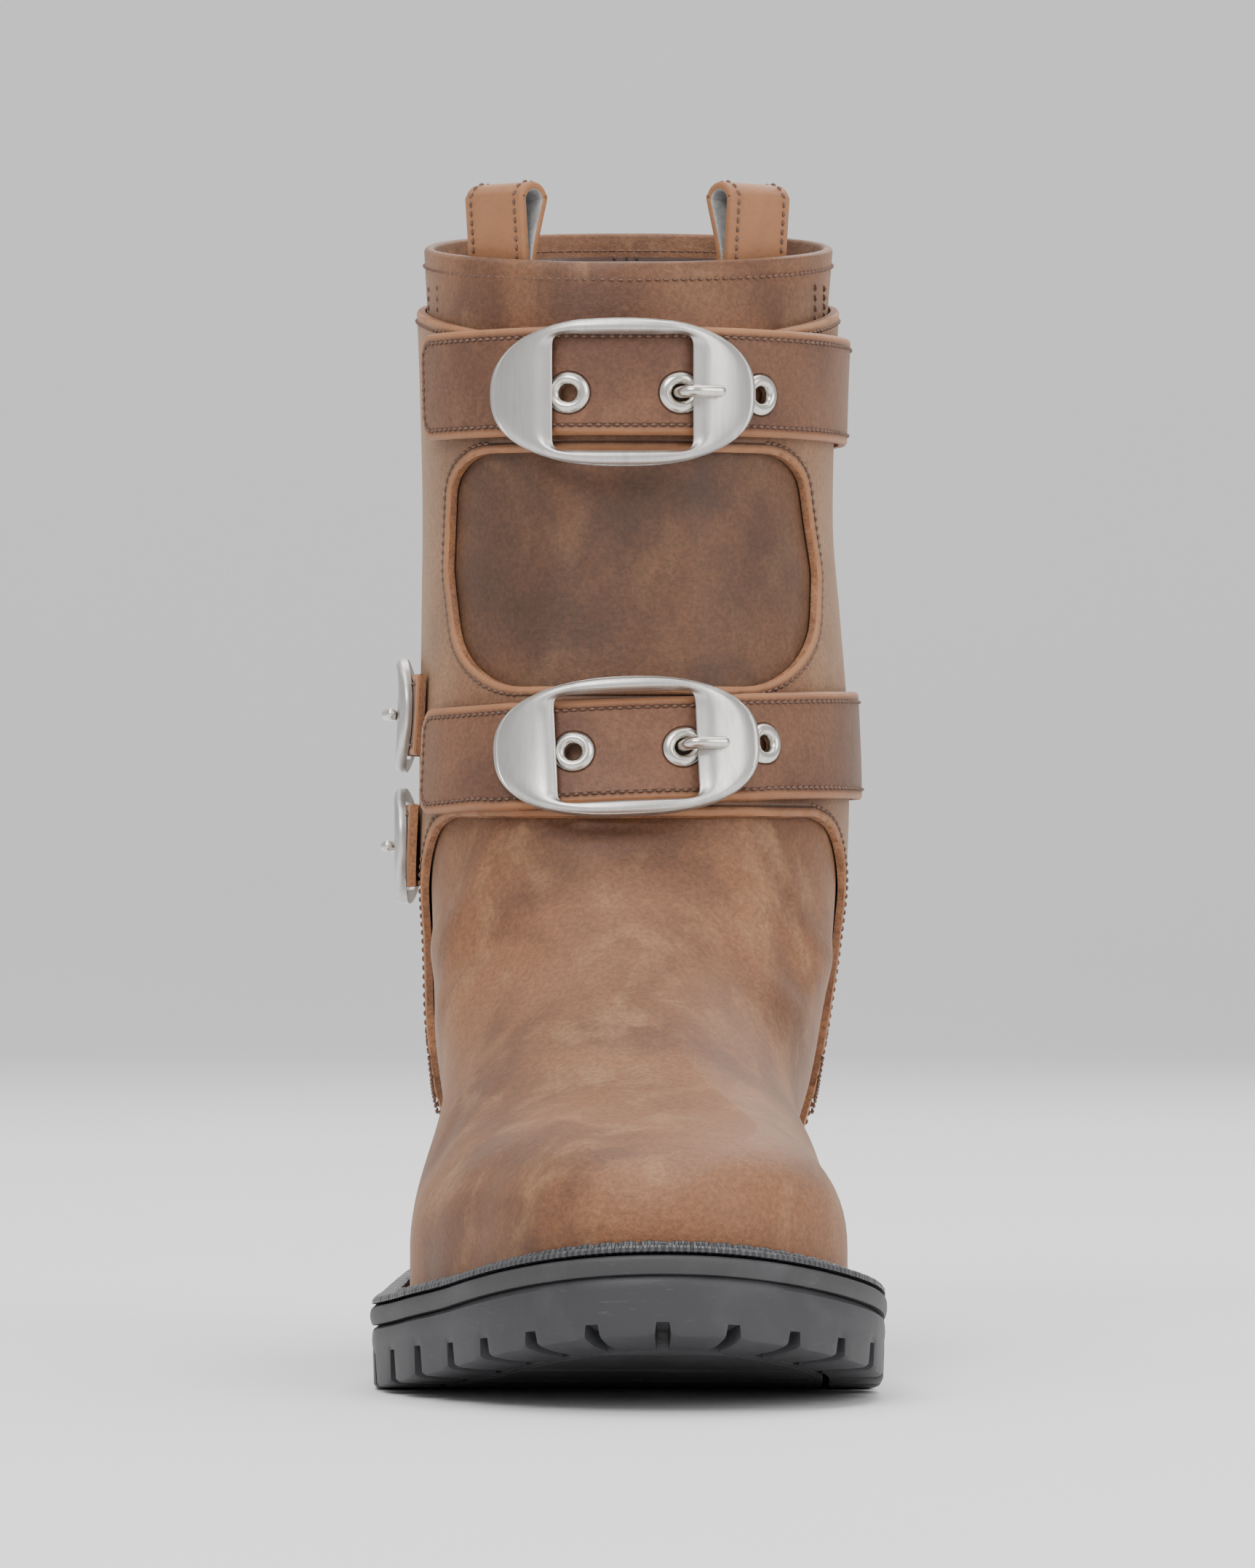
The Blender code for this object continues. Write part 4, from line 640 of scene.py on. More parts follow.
vampLeather = waxedLeather("vampLeather", (0.120, 0.048, 0.022, 1), (0.205, 0.085, 0.036, 1),
                           (0.285, 0.150, 0.072, 1), 0.55, edged=False)
harnessLeather = waxedLeather("harnessLeather", (0.100, 0.044, 0.022, 1), (0.185, 0.085, 0.042, 1),
                              (0.240, 0.130, 0.070, 1), 0.5)
strapLeather = waxedLeather("strapLeather", (0.105, 0.042, 0.022, 1), (0.165, 0.068, 0.034, 1),
                            (0.205, 0.098, 0.050, 1), 0.45)
edgeLeather = rawEdge("edgeLeather", (0.215, 0.090, 0.040, 1))
liningLeather = smoothLining("liningLeather")
soleRubber = mouldedRubber("soleRubber", (0.030, 0.030, 0.033, 1), 0.42)
lipRubber = mouldedRubber("lipRubber", (0.036, 0.035, 0.037, 1), 0.46, grainHeight=0.00012)
weltRubber = mouldedRubber("weltRubber", (0.020, 0.020, 0.023, 1), 0.22, ribs=True)
buckleNickel = oldNickel("buckleNickel", (0.60, 0.575, 0.55, 1), 0.24)
ringNickel = oldNickel("ringNickel", (0.68, 0.65, 0.60, 1), 0.12, brushed=False, tarnish=0.2)
darkThread = twistedThread("darkThread", (0.075, 0.036, 0.022, 1))
loopSuede = napped("loopSuede", (0.24, 0.235, 0.23, 1), (0.42, 0.41, 0.40, 1), 0.5)
insoleFelt = napped("insoleFelt", (0.060, 0.034, 0.024, 1), (0.085, 0.050, 0.036, 1), 0.1)
print("materials made")

pieces = []


def settle(piece, slot, *nodes):
    # every piece rides on the one body and stands for its nodes
    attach(piece, "root")
    if nodes:
        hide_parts(*nodes)
    pieces.append(piece)
    return piece


# Stitches
stitchLook = {"pitch": 0.0021, "long": 0.0017, "wide": 0.00036, "rings": 5, "sides": 6}
stitchPoints, stitchFaces = [], []


def stitchRow(line, normals, pitch=None):
    # short rounded rods along a line: centre plus tangent, side and normal times an arched profile
    pitch = pitch or stitchLook["pitch"]
    run = np.append(0.0, np.cumsum(np.linalg.norm(np.diff(line, axis=0), axis=1)))
    count = max(int(run[-1] / pitch), 1)
    at = (np.arange(count) + 0.5) * run[-1] / count
    centre = np.stack([np.interp(at, run, line[:, i]) for i in range(3)], -1)
    ahead = np.stack([np.interp(at + 4e-4, run, line[:, i]) - np.interp(at - 4e-4, run, line[:, i])
                      for i in range(3)], -1)
    normal = unit(np.stack([np.interp(at, run, normals[:, i]) for i in range(3)], -1))
    tangent = unit(ahead)
    side = unit(np.cross(normal, tangent))
    u = np.linspace(-1, 1, stitchLook["rings"])
    angle = np.linspace(0, 2 * math.pi, stitchLook["sides"], endpoint=False)
    radius = stitchLook["wide"] * np.sqrt(np.maximum(1 - np.abs(u) ** 3, 0.03))
    height = 0.00020 * (1 - u ** 2) - 0.00012 * u ** 2
    size = stitchLook["long"] / stitchLook["pitch"] * pitch / 2
    points = (centre[:, None, None] + tangent[:, None, None] * (u * size)[None, :, None, None]
              + side[:, None, None] * (radius[:, None] * np.cos(angle))[None, ..., None]
              + normal[:, None, None] * (height[:, None] + radius[:, None] * np.sin(angle))[None, ..., None])
    rings, sides = len(u), len(angle)
    one = gridQuads(rings, sides, wrapColumns=True)
    start = sum(len(p) for p in stitchPoints)
    offsets = start + np.arange(count) * rings * sides
    stitchPoints.append(points.reshape(-1, 3))
    stitchFaces.extend((one[None] + offsets[:, None, None]).reshape(-1, 4).tolist())
    ring = np.arange(sides)
    stitchFaces.extend((ring[None] + offsets[:, None]).tolist())
    stitchFaces.extend((ring[None, ::-1] + offsets[:, None] + (rings - 1) * sides).tolist())


def rowOn(surface, first, second, lift, pitch=None):
    # a stitch row given in a surface's own two values
    line = surface(first, second, np.full(len(first), lift))
    above = surface(first, second, np.full(len(first), lift + 1e-3))
    stitchRow(line, above - line, pitch)


# Upper: one shell, outside, rolled rim and lining
creases = {
    # view, half width, height, points (first, second); front is x and z, sides are y and z
    "toe puff edge": ("front", 0.0022, 0.00055, ((-0.0400, 0.0455), (-0.0295, 0.0525), (-0.0180, 0.0590),
                      (-0.0023, 0.0638), (0.0123, 0.0652), (0.0258, 0.0630), (0.0342, 0.0598),
                      (0.0425, 0.0540))),
    "behind the puff": ("front", 0.0048, -0.00080, ((-0.0380, 0.0530), (-0.0180, 0.0665), (0.0100, 0.0720),
                        (0.0300, 0.0680), (0.0420, 0.0600))),
    "inner fold": ("front", 0.0040, 0.00150, ((0.0250, 0.1040), (0.0310, 0.0930), (0.0370, 0.0840),
                   (0.0430, 0.0760))),
    "beside the inner fold": ("front", 0.0042, -0.00120, ((0.0330, 0.1080), (0.0390, 0.0960),
                              (0.0440, 0.0860))),
    "outer hollow": ("front", 0.0070, -0.00100, ((-0.0400, 0.1180), (-0.0340, 0.1010), (-0.0380, 0.0850))),
    "flex trough": ("front", 0.0050, -0.00060, ((-0.0260, 0.0930), (0.0020, 0.0890), (0.0220, 0.0930))),
    "flex ridge": ("front", 0.0060, 0.00050, ((-0.0280, 0.1010), (0.0000, 0.0980), (0.0200, 0.1020))),
    "outer ankle fold": ("outer", 0.0045, -0.00110, ((-0.0040, 0.1080), (0.0180, 0.0920), (0.0380, 0.0840))),
    "outer ankle ridge": ("outer", 0.0050, 0.00100, ((0.0060, 0.1170), (0.0260, 0.1010), (0.0450, 0.0940))),
    "inner ankle trough": ("inner", 0.0045, -0.00100, ((-0.0100, 0.1020), (0.0120, 0.0880),
                           (0.0340, 0.0800))),
    "inner ankle ridge": ("inner", 0.0050, 0.00090, ((0.0020, 0.1130), (0.0220, 0.0980), (0.0440, 0.0900))),
    "window sheen fold": ("front", 0.0040, 0.00070, ((0.0335, 0.2020), (0.0360, 0.1850), (0.0350, 0.1660))),
    "outer sole crease": ("outer", 0.0035, -0.00060, ((-0.0560, 0.0480), (-0.0420, 0.0560),
                          (-0.0300, 0.0680))),
}


def creaseLift(points):
    # sum of height times a Gaussian of the distance to each crease line, only on its own side
    x, y, z = points[..., 0], points[..., 1], points[..., 2]
    total = np.zeros_like(x)
    for view, width, height, line in creases.values():
        line = softLine(line, 6)
        if view == "front":
            first, weight = x, ease((along(0.62) - y) / 0.03)
        else:
            sign = -1.0 if view == "outer" else 1.0
            first, weight = y, ease((sign * x - 0.018) / 0.016)
        second = z
        shape = first.shape
        p = np.stack((first.ravel(), second.ravel()), -1)[:, None]
        start, way = line[None, :-1], np.diff(line, axis=0)[None]
        t = np.clip(((p - start) * way).sum(-1) / (way ** 2).sum(-1), 0, 1)
        near = ((p - start - t[..., None] * way) ** 2).sum(-1)
        which = near.argmin(1)
        part = (which + t[np.arange(len(p)), which]) / way.shape[1]
        fade = np.sin(math.pi * np.clip(part, 0.04, 0.96)) ** 0.6
        total += (weight.ravel() * height * fade * np.exp(-near.min(1) / width ** 2)).reshape(shape)
    slack = 0.00035 * (np.sin(41 * z + 23 * y) * np.sin(57 * x + 19 * z + 1.3)) * ease((z - 0.05) / 0.05)
    return total + slack


upperLook = {"turns": 240, "outside": 132, "inside": 54, "rim": 8, "rimRow": 0.0033}
turnLine = np.linspace(-math.pi, math.pi, upperLook["turns"], endpoint=False)
outsidePlaces = np.linspace(0.0, 1.0, upperLook["outside"]) ** 0.92
rimAngles = np.linspace(0.0, math.pi, upperLook["rim"] + 2)[1:-1]
insidePlaces = np.linspace(1.0, 0.004, upperLook["inside"])


def buildUpper():
    # rows: outside up, half circle over the rim, inside down; the last row joins the first
    place, turn = np.meshgrid(outsidePlaces, turnLine, indexing="ij")
    outside = upperSurface(place, turn, np.zeros_like(place))
    outside = upperSurface(place, turn, creaseLift(outside))
    wall = lastSizes["wall"]
    place, turn = np.meshgrid(np.ones(len(rimAngles)), turnLine, indexing="ij")
    across = -wall / 2 * (1 - np.cos(rimAngles))[:, None]
    rim = upperSurface(place, turn, across + np.zeros_like(place))
    rim[..., 2] += 0.45 * wall * np.sin(rimAngles)[:, None]
    place, turn = np.meshgrid(insidePlaces, turnLine, indexing="ij")
    inside = upperSurface(place, turn, np.full_like(place, -wall))
    points = np.concatenate((outside, rim, inside))
    rows, columns = points.shape[:2]
    quads = gridQuads(rows, columns, wrapRows=True, wrapColumns=True)
    rowOf = np.repeat(np.arange(rows), columns)
    lined = (rowOf >= len(outside) + len(rim) + 1) & (rowOf < rows - 1)
    z, y = points[..., 2], points[..., 1]
    # darker leather in the window panel and the collar; painted shade on the vamp top under the lower strap
    window = ease((z - 0.146) / 0.012) * (1 - ease((z - 0.226) / 0.012))
    collar = 0.42 * ease((z - 0.236) / 0.008) * (1 - 0.6 * ease((z - 0.246) / 0.006))
    underStrapShade = (0.55 * ease((z - 0.100) / 0.030) * (1 - ease((z - 0.146) / 0.012))
              * ease((along(0.62) - y) / 0.05))
    toneAndPaintedLight = 0.80 * window + collar + underStrapShade
    turns = np.broadcast_to(turnLine, points.shape[:2])
    seam = np.minimum(np.abs(np.abs(turns) - math.pi) * 0.045, 0.02)
    piece = makePiece("upperShell", points, quads, (vampLeather, liningLeather), lined.astype(int),
                      {"toneAndPaintedLight": toneAndPaintedLight, "edge": seam}, angle=75.0)
    settle(piece, "dark_leather", "upper")
    # stitch rows under the rim, outside and inside, and the two side seams above the harness
    ring = np.linspace(-math.pi, math.pi, 500)
    drop = upperPoint(np.ones_like(ring), ring) - upperPoint(np.full_like(ring, 0.98), ring)
    rowPlace = 1 - 0.02 * upperLook["rimRow"] / np.linalg.norm(drop, axis=-1)
    rowOn(upperSurface, rowPlace, ring, 0.0)
    rowOn(upperSurface, rowPlace, ring, -wall)
    for side in (-1.0, 1.0):
        heights = np.linspace(0.236, 0.2505, 12)
        for offset in (0.0, 0.0022):
            turns = frontTurn(np.full(12, side * 0.0462 - side * offset), heights)
            rowOn(shaftSurface, turns, heights, 0.0)
    for side in (-1.0, 1.0):
        places = np.linspace(0.985, 0.45, 60)
        turns = np.full(60, side * (math.pi - 0.045))
        line = upperSurface(places, turns, np.full(60, -wall))
        below = upperSurface(places, turns, np.full(60, -wall - 1e-3))
        stitchRow(line, below - line)


buildUpper()
print("upper made")

# Harness: outer leather with an open vamp, a window and a cut top
strapSizes = {"wide": 0.0248, "corner": 0.0062, "upperZ": 0.2258, "lowerZ": 0.1402, "lowerTurn": 2.6}
harnessLook = {"turns": 264, "rows": 150, "first": 0.021, "last": 0.965, "margin": 0.0035, "rowIn": 0.0023}
vampOpening = np.array(((0.625, 0.0071), (0.655, 0.0285), (0.678, 0.0749), (0.700, 0.1569), (0.718, 0.2425),
                        (0.725, 0.3852), (0.722, 0.5421), (0.716, 0.6419), (0.716, 0.7600)))
topTrim = np.array(((-0.05, -0.005), (0.07, -0.005), (0.20, 0.018), (0.50, 0.064), (1.00, 0.119),
                    (1.30, 0.137)))


def vampEdge():
    top = strapSizes["lowerZ"] - strapSizes["wide"] / 2 - layers["skinGap"]
    heights = top - vampOpening[:, 1] * strapSizes["lowerZ"]
    line = softLine(np.stack((along(vampOpening[:, 0]), heights), -1), 6)
    start = np.array(((along(0.30), top),))
    return np.concatenate((start, line))


def topEdge():
    top = strapSizes["upperZ"] + strapSizes["wide"] / 2
    front = np.interp(top, denseFrontZ, denseFrontY)
    return softLine(np.stack((front + topTrim[:, 0] * shaftSizes["depth"],
                              top + topTrim[:, 1] * shaftSizes["depth"]), -1), 6)


def levelRun(turn, z):
    # arc length round the shaft from its front, read from a table of heights and turns
    zs, ts = runTable["z"], runTable["turn"]
    zi = np.clip((z - zs[0]) / (zs[1] - zs[0]), 0, len(zs) - 1.001)
    ti = np.clip((turn - ts[0]) / (ts[1] - ts[0]), 0, len(ts) - 1.001)
    z0, t0 = zi.astype(int), ti.astype(int)
    zp, tp = zi - z0, ti - t0
    run = runTable["run"]
    return ((run[z0, t0] * (1 - tp) + run[z0, t0 + 1] * tp) * (1 - zp)
            + (run[z0 + 1, t0] * (1 - tp) + run[z0 + 1, t0 + 1] * tp) * zp)


runTable = {"z": np.linspace(0.10, 0.25, 61), "turn": np.linspace(-math.pi, math.pi, 721)}
tableZ, tableTurn = np.meshgrid(runTable["z"], runTable["turn"], indexing="ij")
tablePoints = shaftSurface(tableTurn, tableZ, np.full_like(tableZ, layers["harnessTop"]))
tableSteps = np.linalg.norm(np.diff(tablePoints, axis=1), axis=-1)
tableRun = np.concatenate((np.zeros((61, 1)), np.cumsum(tableSteps, axis=1)), axis=1)
runTable["run"] = tableRun - tableRun[:, 360:361]


def turnAtRun(run, z):
    # inverse of levelRun, level by level
    run, z = np.broadcast_arrays(np.asarray(run, float), np.asarray(z, float))
    low, high = np.full(run.shape, -math.pi), np.full(run.shape, math.pi)
    for _ in range(24):
        middle = (low + high) / 2
        beyond = levelRun(middle, z) > run
        high, low = np.where(beyond, middle, high), np.where(beyond, low, middle)
    return (low + high) / 2


def windowOutline():
    top = strapSizes["upperZ"] - strapSizes["wide"] / 2 - harnessLook["margin"]
    bottom = strapSizes["lowerZ"] + strapSizes["wide"] / 2 + harnessLook["margin"]
    width = shaftSizes["width"]
    corners = ((-0.420, 1.0, 0.098), (-0.430, 0.5, 0.206), (-0.394, 0.0, 0.160),
               (0.450, 0.0, 0.175), (0.460, 0.5, 0.206), (0.419, 1.0, 0.098))
    flat = rounded([(x * width, bottom + (top - bottom) * up) for x, up, _ in corners],
                   [radius * width for _, _, radius in corners])
    turns = frontTurn(flat[:, 0], flat[:, 1], layers["harnessTop"])
    return np.stack((levelRun(turns, flat[:, 1]), flat[:, 1]), -1)


windowLine = windowOutline()
vampLine, topLine = vampEdge(), topEdge()
vampArea = np.concatenate((vampLine, ((along(0.716), -0.02), (along(-0.3), -0.02),
                                      (along(-0.3), vampLine[0, 1]))))
topArea = np.concatenate((topLine, ((0.3, topLine[-1, 1]), (0.3, 0.4), (-0.3, 0.4), (-0.3, topLine[0, 1]))))


def harnessField(place, turn):
    # distance from the nearest of the three cut edges, negative in what is cut away
    points = upperSurface(place, turn, np.full_like(place, layers["harnessTop"]))
    side = outlineDistance(vampArea, points[..., 1], points[..., 2])
    top = outlineDistance(topArea, points[..., 1], points[..., 2])
    front = outlineDistance(windowLine, levelRun(turn, points[..., 2]), points[..., 2])
    front = np.where(np.abs(turn) < 0.62 * math.pi, front, 0.05)
    return np.minimum(np.minimum(side, top), front)


def rowInside(line, area):
    # a cut edge moved to the side that the leather is on
    row = offsetLine(line, harnessLook["rowIn"], closed=False)
    if outlineDistance(area, row[20:21, 0], row[20:21, 1])[0] < 0:
        row = offsetLine(line, -harnessLook["rowIn"], closed=False)
    return row


def lengthShare(row):
    # where points of a side view lie between the shaft's front and back
    front = np.interp(row[:, 1], denseFrontZ, denseFrontY)
    back = np.interp(row[:, 1], denseBackZ, denseBackY)
    return (row[:, 0] - front) / (back - front)


def harnessToneAndSheen(points):
    # negative mixes in tan as painted sheen, on the sides and back where the light glances; positive is dark,
    # low at the front
    x, y = points[:, 0], points[:, 1]
    sides = ease((np.abs(x) - 0.030) / 0.016) * ease((y - 0.028) / 0.02)
    return -0.62 * sides + 0.10 * (1 - sides)


def buildHarness():
    turns = np.linspace(-math.pi, math.pi, harnessLook["turns"], endpoint=False)
    places = np.linspace(harnessLook["first"], harnessLook["last"], harnessLook["rows"])

    def surface(turn, place, lift):
        points = upperSurface(place, turn, lift)
        return points + (upperSurface(place, turn, lift + 1e-3) - points) * (
            0.9 * np.maximum(creaseLift(points), 0.0)[..., None] / 1e-3)

    piece = leatherSheet("harnessSkin", surface, turns, places, True, lambda t, p: harnessField(p, t),
                         (0.05, 0.32), layers["skinGap"], layers["harnessTop"],
                         (harnessLeather, harnessLeather, edgeLeather), harnessToneAndSheen)
    settle(piece, "leather", "harness")
    lift = layers["harnessTop"]
    inner = offsetLine(windowLine, -harnessLook["rowIn"])
    if outlineDistance(windowLine, inner[:1, 0], inner[:1, 1])[0] < 0:
        inner = offsetLine(windowLine, harnessLook["rowIn"])
    inner = np.concatenate((inner, inner[:1]))
    rowOn(shaftSurface, turnAtRun(inner[:, 0], inner[:, 1]), inner[:, 1], lift)
    for side in (-1.0, 1.0):
        row = rowInside(vampLine, vampArea)
        front = np.interp(row[:, 1], denseFrontZ, denseFrontY)
        row = row[row[:, 0] > front + 0.0008]
        row = row[row[:, 1] > 0.052]
        turn = side * np.arccos(1 - 2 * np.clip(lengthShare(row), 0, 1))
        rowOn(shaftSurface, turn, row[:, 1], lift)
        row = rowInside(topLine, topArea)
        share = lengthShare(row)
        row, share = row[(share > 0) & (share < 1)], share[(share > 0) & (share < 1)]
        rowOn(shaftSurface, side * np.arccos(1 - 2 * share), row[:, 1], lift)
        # the seam down each side and the two rows beside the back seam
        heights = np.linspace(0.2395 if side > 0 else 0.2380, 0.058, 130)
        for turnAt in (1.80, 1.86):
            rowOn(shaftSurface, np.full(130, side * turnAt), heights, lift)
        for offset in (0.0075, 0.0098):
            rows = np.linspace(0.2460, 0.060, 130)
            sideTurn = math.pi - offset / 0.036
            rowOn(shaftSurface, np.full(130, side * sideTurn), rows, lift)


buildHarness()
print("harness made")


# Straps on the front
def roundBox(u, v, halfU, halfV, radius):
    # inside distance to a box with round corners, positive inside
    du, dv = np.abs(u) - halfU + radius, np.abs(v) - halfV + radius
    outside = np.hypot(np.maximum(du, 0), np.maximum(dv, 0))
    return radius - outside - np.minimum(np.maximum(du, dv), 0)


buckleLook = {
    "long": 0.061, "high": 0.034, "window": 0.0323, "windowHigh": 0.0265, "edge": 0.0014, "crown": 0.0026,
    "spots": (-0.200, 0.215, 0.520), "upperZ": 0.2230, "upperX": -0.0009, "lowerZ": 0.1405, "lowerX": 0.0,
}
eyeletLook = {"outer": 0.0095, "hole": 0.0048, "high": 0.0010}


def buildStrap(level, height, turnDegrees, centreX, buckleZ):
    # the strap's own values: run along it from the tip and height across it
    slope = math.tan(math.radians(turnDegrees))
    low, high = layers["strapLow"], layers["strapTop"]
    tipTurn = float(frontTurn(np.array(-0.474 * shaftSizes["width"]), np.array(height), np.array(low)))
    turns = np.linspace(tipTurn, 1.95, 500)
    line = shaftSurface(turns, np.full(500, height), np.full(500, low))
    run = np.append(0.0, np.cumsum(np.linalg.norm(np.diff(line, axis=0), axis=1)))
    flatX = shaftPoint(turns, np.full(500, height))[:, 0]

    def place(along_, across):
        turn = np.interp(along_, run, turns)
        return turn, height + slope * np.interp(along_, run, flatX) + across

    def surface(along_, across, lift):
        turn, z = place(along_, across)
        return shaftSurface(turn, z, lift)

    spots = []
    for share in buckleLook["spots"]:
        spotX = centreX + share * buckleLook["long"] * math.cos(math.radians(turnDegrees))
        spotZ = buckleZ + share * buckleLook["long"] * math.sin(math.radians(turnDegrees))
        x = shaftSurface(turns, np.full(500, spotZ), np.full(500, high))[:, 0]
        front = np.abs(turns) < 1.6
        spotRun = float(np.interp(spotX, x[front], run[front]))
        spots.append((spotRun, spotZ - height - slope * float(np.interp(spotRun, run, flatX))))

    def field(along_, across):
        # a box with round corners at the tip, minus the holes
        half = strapSizes["wide"] / 2
        body = roundBox(along_ - 0.1, across, 0.1, half, strapSizes["corner"])
        for spotRun, spotAcross in spots:
            body = np.minimum(body, np.hypot(along_ - spotRun, across - spotAcross) - eyeletLook["hole"] / 2)
        return body

    rows = np.linspace(-0.0006, run[-1], 200)
    columns = np.linspace(-0.0131, 0.0131, 42)

    # darker towards the right; at the left tip, tan as painted sheen
    def toneAndPaintedLight(points):
        return 0.12 + 0.18 * ease((points[:, 0] - 0.01) / 0.03) - 0.25 * ease((-points[:, 0] - 0.036) / 0.01)

    piece = leatherSheet("strap" + level, surface, rows, columns, False, field, (1.0, 1.0), low, high,
                         (strapLeather, strapLeather, edgeLeather), toneAndPaintedLight)
    settle(piece, "leather", "strap_" + level.lower())
    inset = 0.0023
    half, corner = strapSizes["wide"] / 2 - inset, strapSizes["corner"] - inset
    arc = np.linspace(0, math.pi / 2, 10)
    end = run[-1] - 0.004
    upLine = np.stack((inset + corner - corner * np.sin(arc), half - corner + corner * np.cos(arc)), -1)
    downLine = upLine[::-1] * (1, -1)
    far = np.array(((end, half),))
    outline = np.concatenate((far, upLine, downLine, far * (1, -1)))
    outline = evenSteps(outline)
    rowOn(surface, outline[:, 0], outline[:, 1], high)
    return surface, spots


def ringPiece(name, patch, outer, inner, profile, count, material):
    # closed ring between two outlines; profile rows are share from inner to outer and lift
    angles = np.linspace(0, 2 * math.pi, count, endpoint=False)
    inside, outside = inner(angles), outer(angles)
    share = np.array([row[0] for row in profile])[:, None, None]
    lift = np.array([row[1] for row in profile])[:, None]
    flat = inside[None] * (1 - share) + outside[None] * share
    points = patch(flat[..., 0], flat[..., 1], np.broadcast_to(lift, flat.shape[:2]))
    quads = gridQuads(len(profile), count, wrapRows=True, wrapColumns=True)
    return makePiece(name, points, quads, (material,), angle=42.0)


def oval(long, high, power=2.35):
    # |x|^p + |z|^p = 1 by angle
    def outline(angles):
        c, s = np.cos(angles), np.sin(angles)
        return np.stack((np.sign(c) * np.abs(c) ** (2 / power) * long / 2,
                         np.sign(s) * np.abs(s) ** (2 / power) * high / 2), -1)
    return outline


def movedPatch(patch, x, z, turnDegrees=0.0):
    c, s = math.cos(math.radians(turnDegrees)), math.sin(math.radians(turnDegrees))
    return lambda u, v, lift: patch(x + u * c - v * s, z + u * s + v * c, lift)


def arcRows(start, end, steps, bulge=0.0):
    # profile rows from one (share, lift) to another along a slight arc
    t = np.linspace(0, 1, steps, endpoint=False)
    way = np.subtract(end, start)
    return [(start[0] + way[0] * v, start[1] + way[1] * v + bulge * math.sin(math.pi * v)) for v in t]


def buckleProfile(seat, edge, crown):
    # up the inner wall, a small shoulder, over the crown, a rolled outer rim and back underneath
    rows = arcRows((0.0, seat), (0.0, seat + 0.72 * edge), 3)
    rows += arcRows((0.0, seat + 0.72 * edge), (0.035, seat + edge), 3, 0.0001)
    rows += arcRows((0.035, seat + edge), (0.30, seat + crown), 8, 0.00022)
    rows += arcRows((0.30, seat + crown), (0.72, seat + 0.94 * crown), 10, 0.00010)
    rows += arcRows((0.72, seat + 0.94 * crown), (0.93, seat + 0.62 * crown), 6, 0.00012)
    rows += arcRows((0.93, seat + 0.62 * crown), (0.955, seat + 0.66 * crown), 2)
    rows += arcRows((0.955, seat + 0.66 * crown), (1.0, seat + 0.42 * crown), 5, 0.00020)
    rows += arcRows((1.0, seat + 0.42 * crown), (0.985, seat), 3)
    rows += arcRows((0.985, seat), (0.0, seat), 8)
    return rows


def buildEyelet(name, patch, seat, node):
    # domed ring with a tube that runs down into the hole
    hole, outer, high = eyeletLook["hole"] / 2, eyeletLook["outer"] / 2, eyeletLook["high"]
    radii = [(hole - 0.0004, seat - 0.0019), (hole - 0.0004, seat + 0.0003),
             (hole + 0.0001, seat + 0.75 * high), (hole + 0.0006, seat + high),
             (hole + 0.0012, seat + 0.98 * high), (outer - 0.0006, seat + 0.62 * high),
             (outer - 0.0001, seat + 0.28 * high), (outer, seat), (hole + 0.0006, seat - 0.00015),
             (hole, seat - 0.0004), (hole, seat - 0.0019)]
    angles = np.linspace(0, 2 * math.pi, 48, endpoint=False)
    r = np.array([row[0] for row in radii])[:, None]
    lift = np.array([row[1] for row in radii])[:, None] + np.zeros((1, 48))
    points = patch(r * np.cos(angles), r * np.sin(angles), lift)
    quads = gridQuads(len(radii), 48, wrapRows=True, wrapColumns=True)
    settle(makePiece(name, points, quads, (ringNickel,), angle=60.0), "metal", node)


def buildProng(name, patch, spots, radius, node):
    # a round bar along a soft path, with a domed end
    spots = softLine(spots, 10)
    line = patch(spots[:, 0], spots[:, 1], spots[:, 2])
    run = np.append(0.0, np.cumsum(np.linalg.norm(np.diff(line, axis=0), axis=1)))
    at = np.append(np.linspace(0, run[-1] - radius, 40),
                   run[-1] - radius + radius * np.sin(np.linspace(0.2, 1.57, 7)))
    line = np.stack([np.interp(at, run, line[:, i]) for i in range(3)], -1)
    tangent = unit(np.gradient(line, axis=0))
    side = unit(np.cross(tangent, np.array((0.0, 0.0, 1.0))))
    up = np.cross(side, tangent)
    size = radius * np.sqrt(np.clip(1 - (np.maximum(at - run[-1] + radius, 0) / radius) ** 2, 0.0004, 1))
    angles = np.linspace(0, 2 * math.pi, 20, endpoint=False)
    points = line[:, None] + size[:, None, None] * (side[:, None] * np.cos(angles)[None, :, None]
                                                    + up[:, None] * np.sin(angles)[None, :, None])
    quads = cappedQuads(len(line), 20)
    settle(makePiece(name, points, quads, (ringNickel,), angle=60.0), "metal", node)


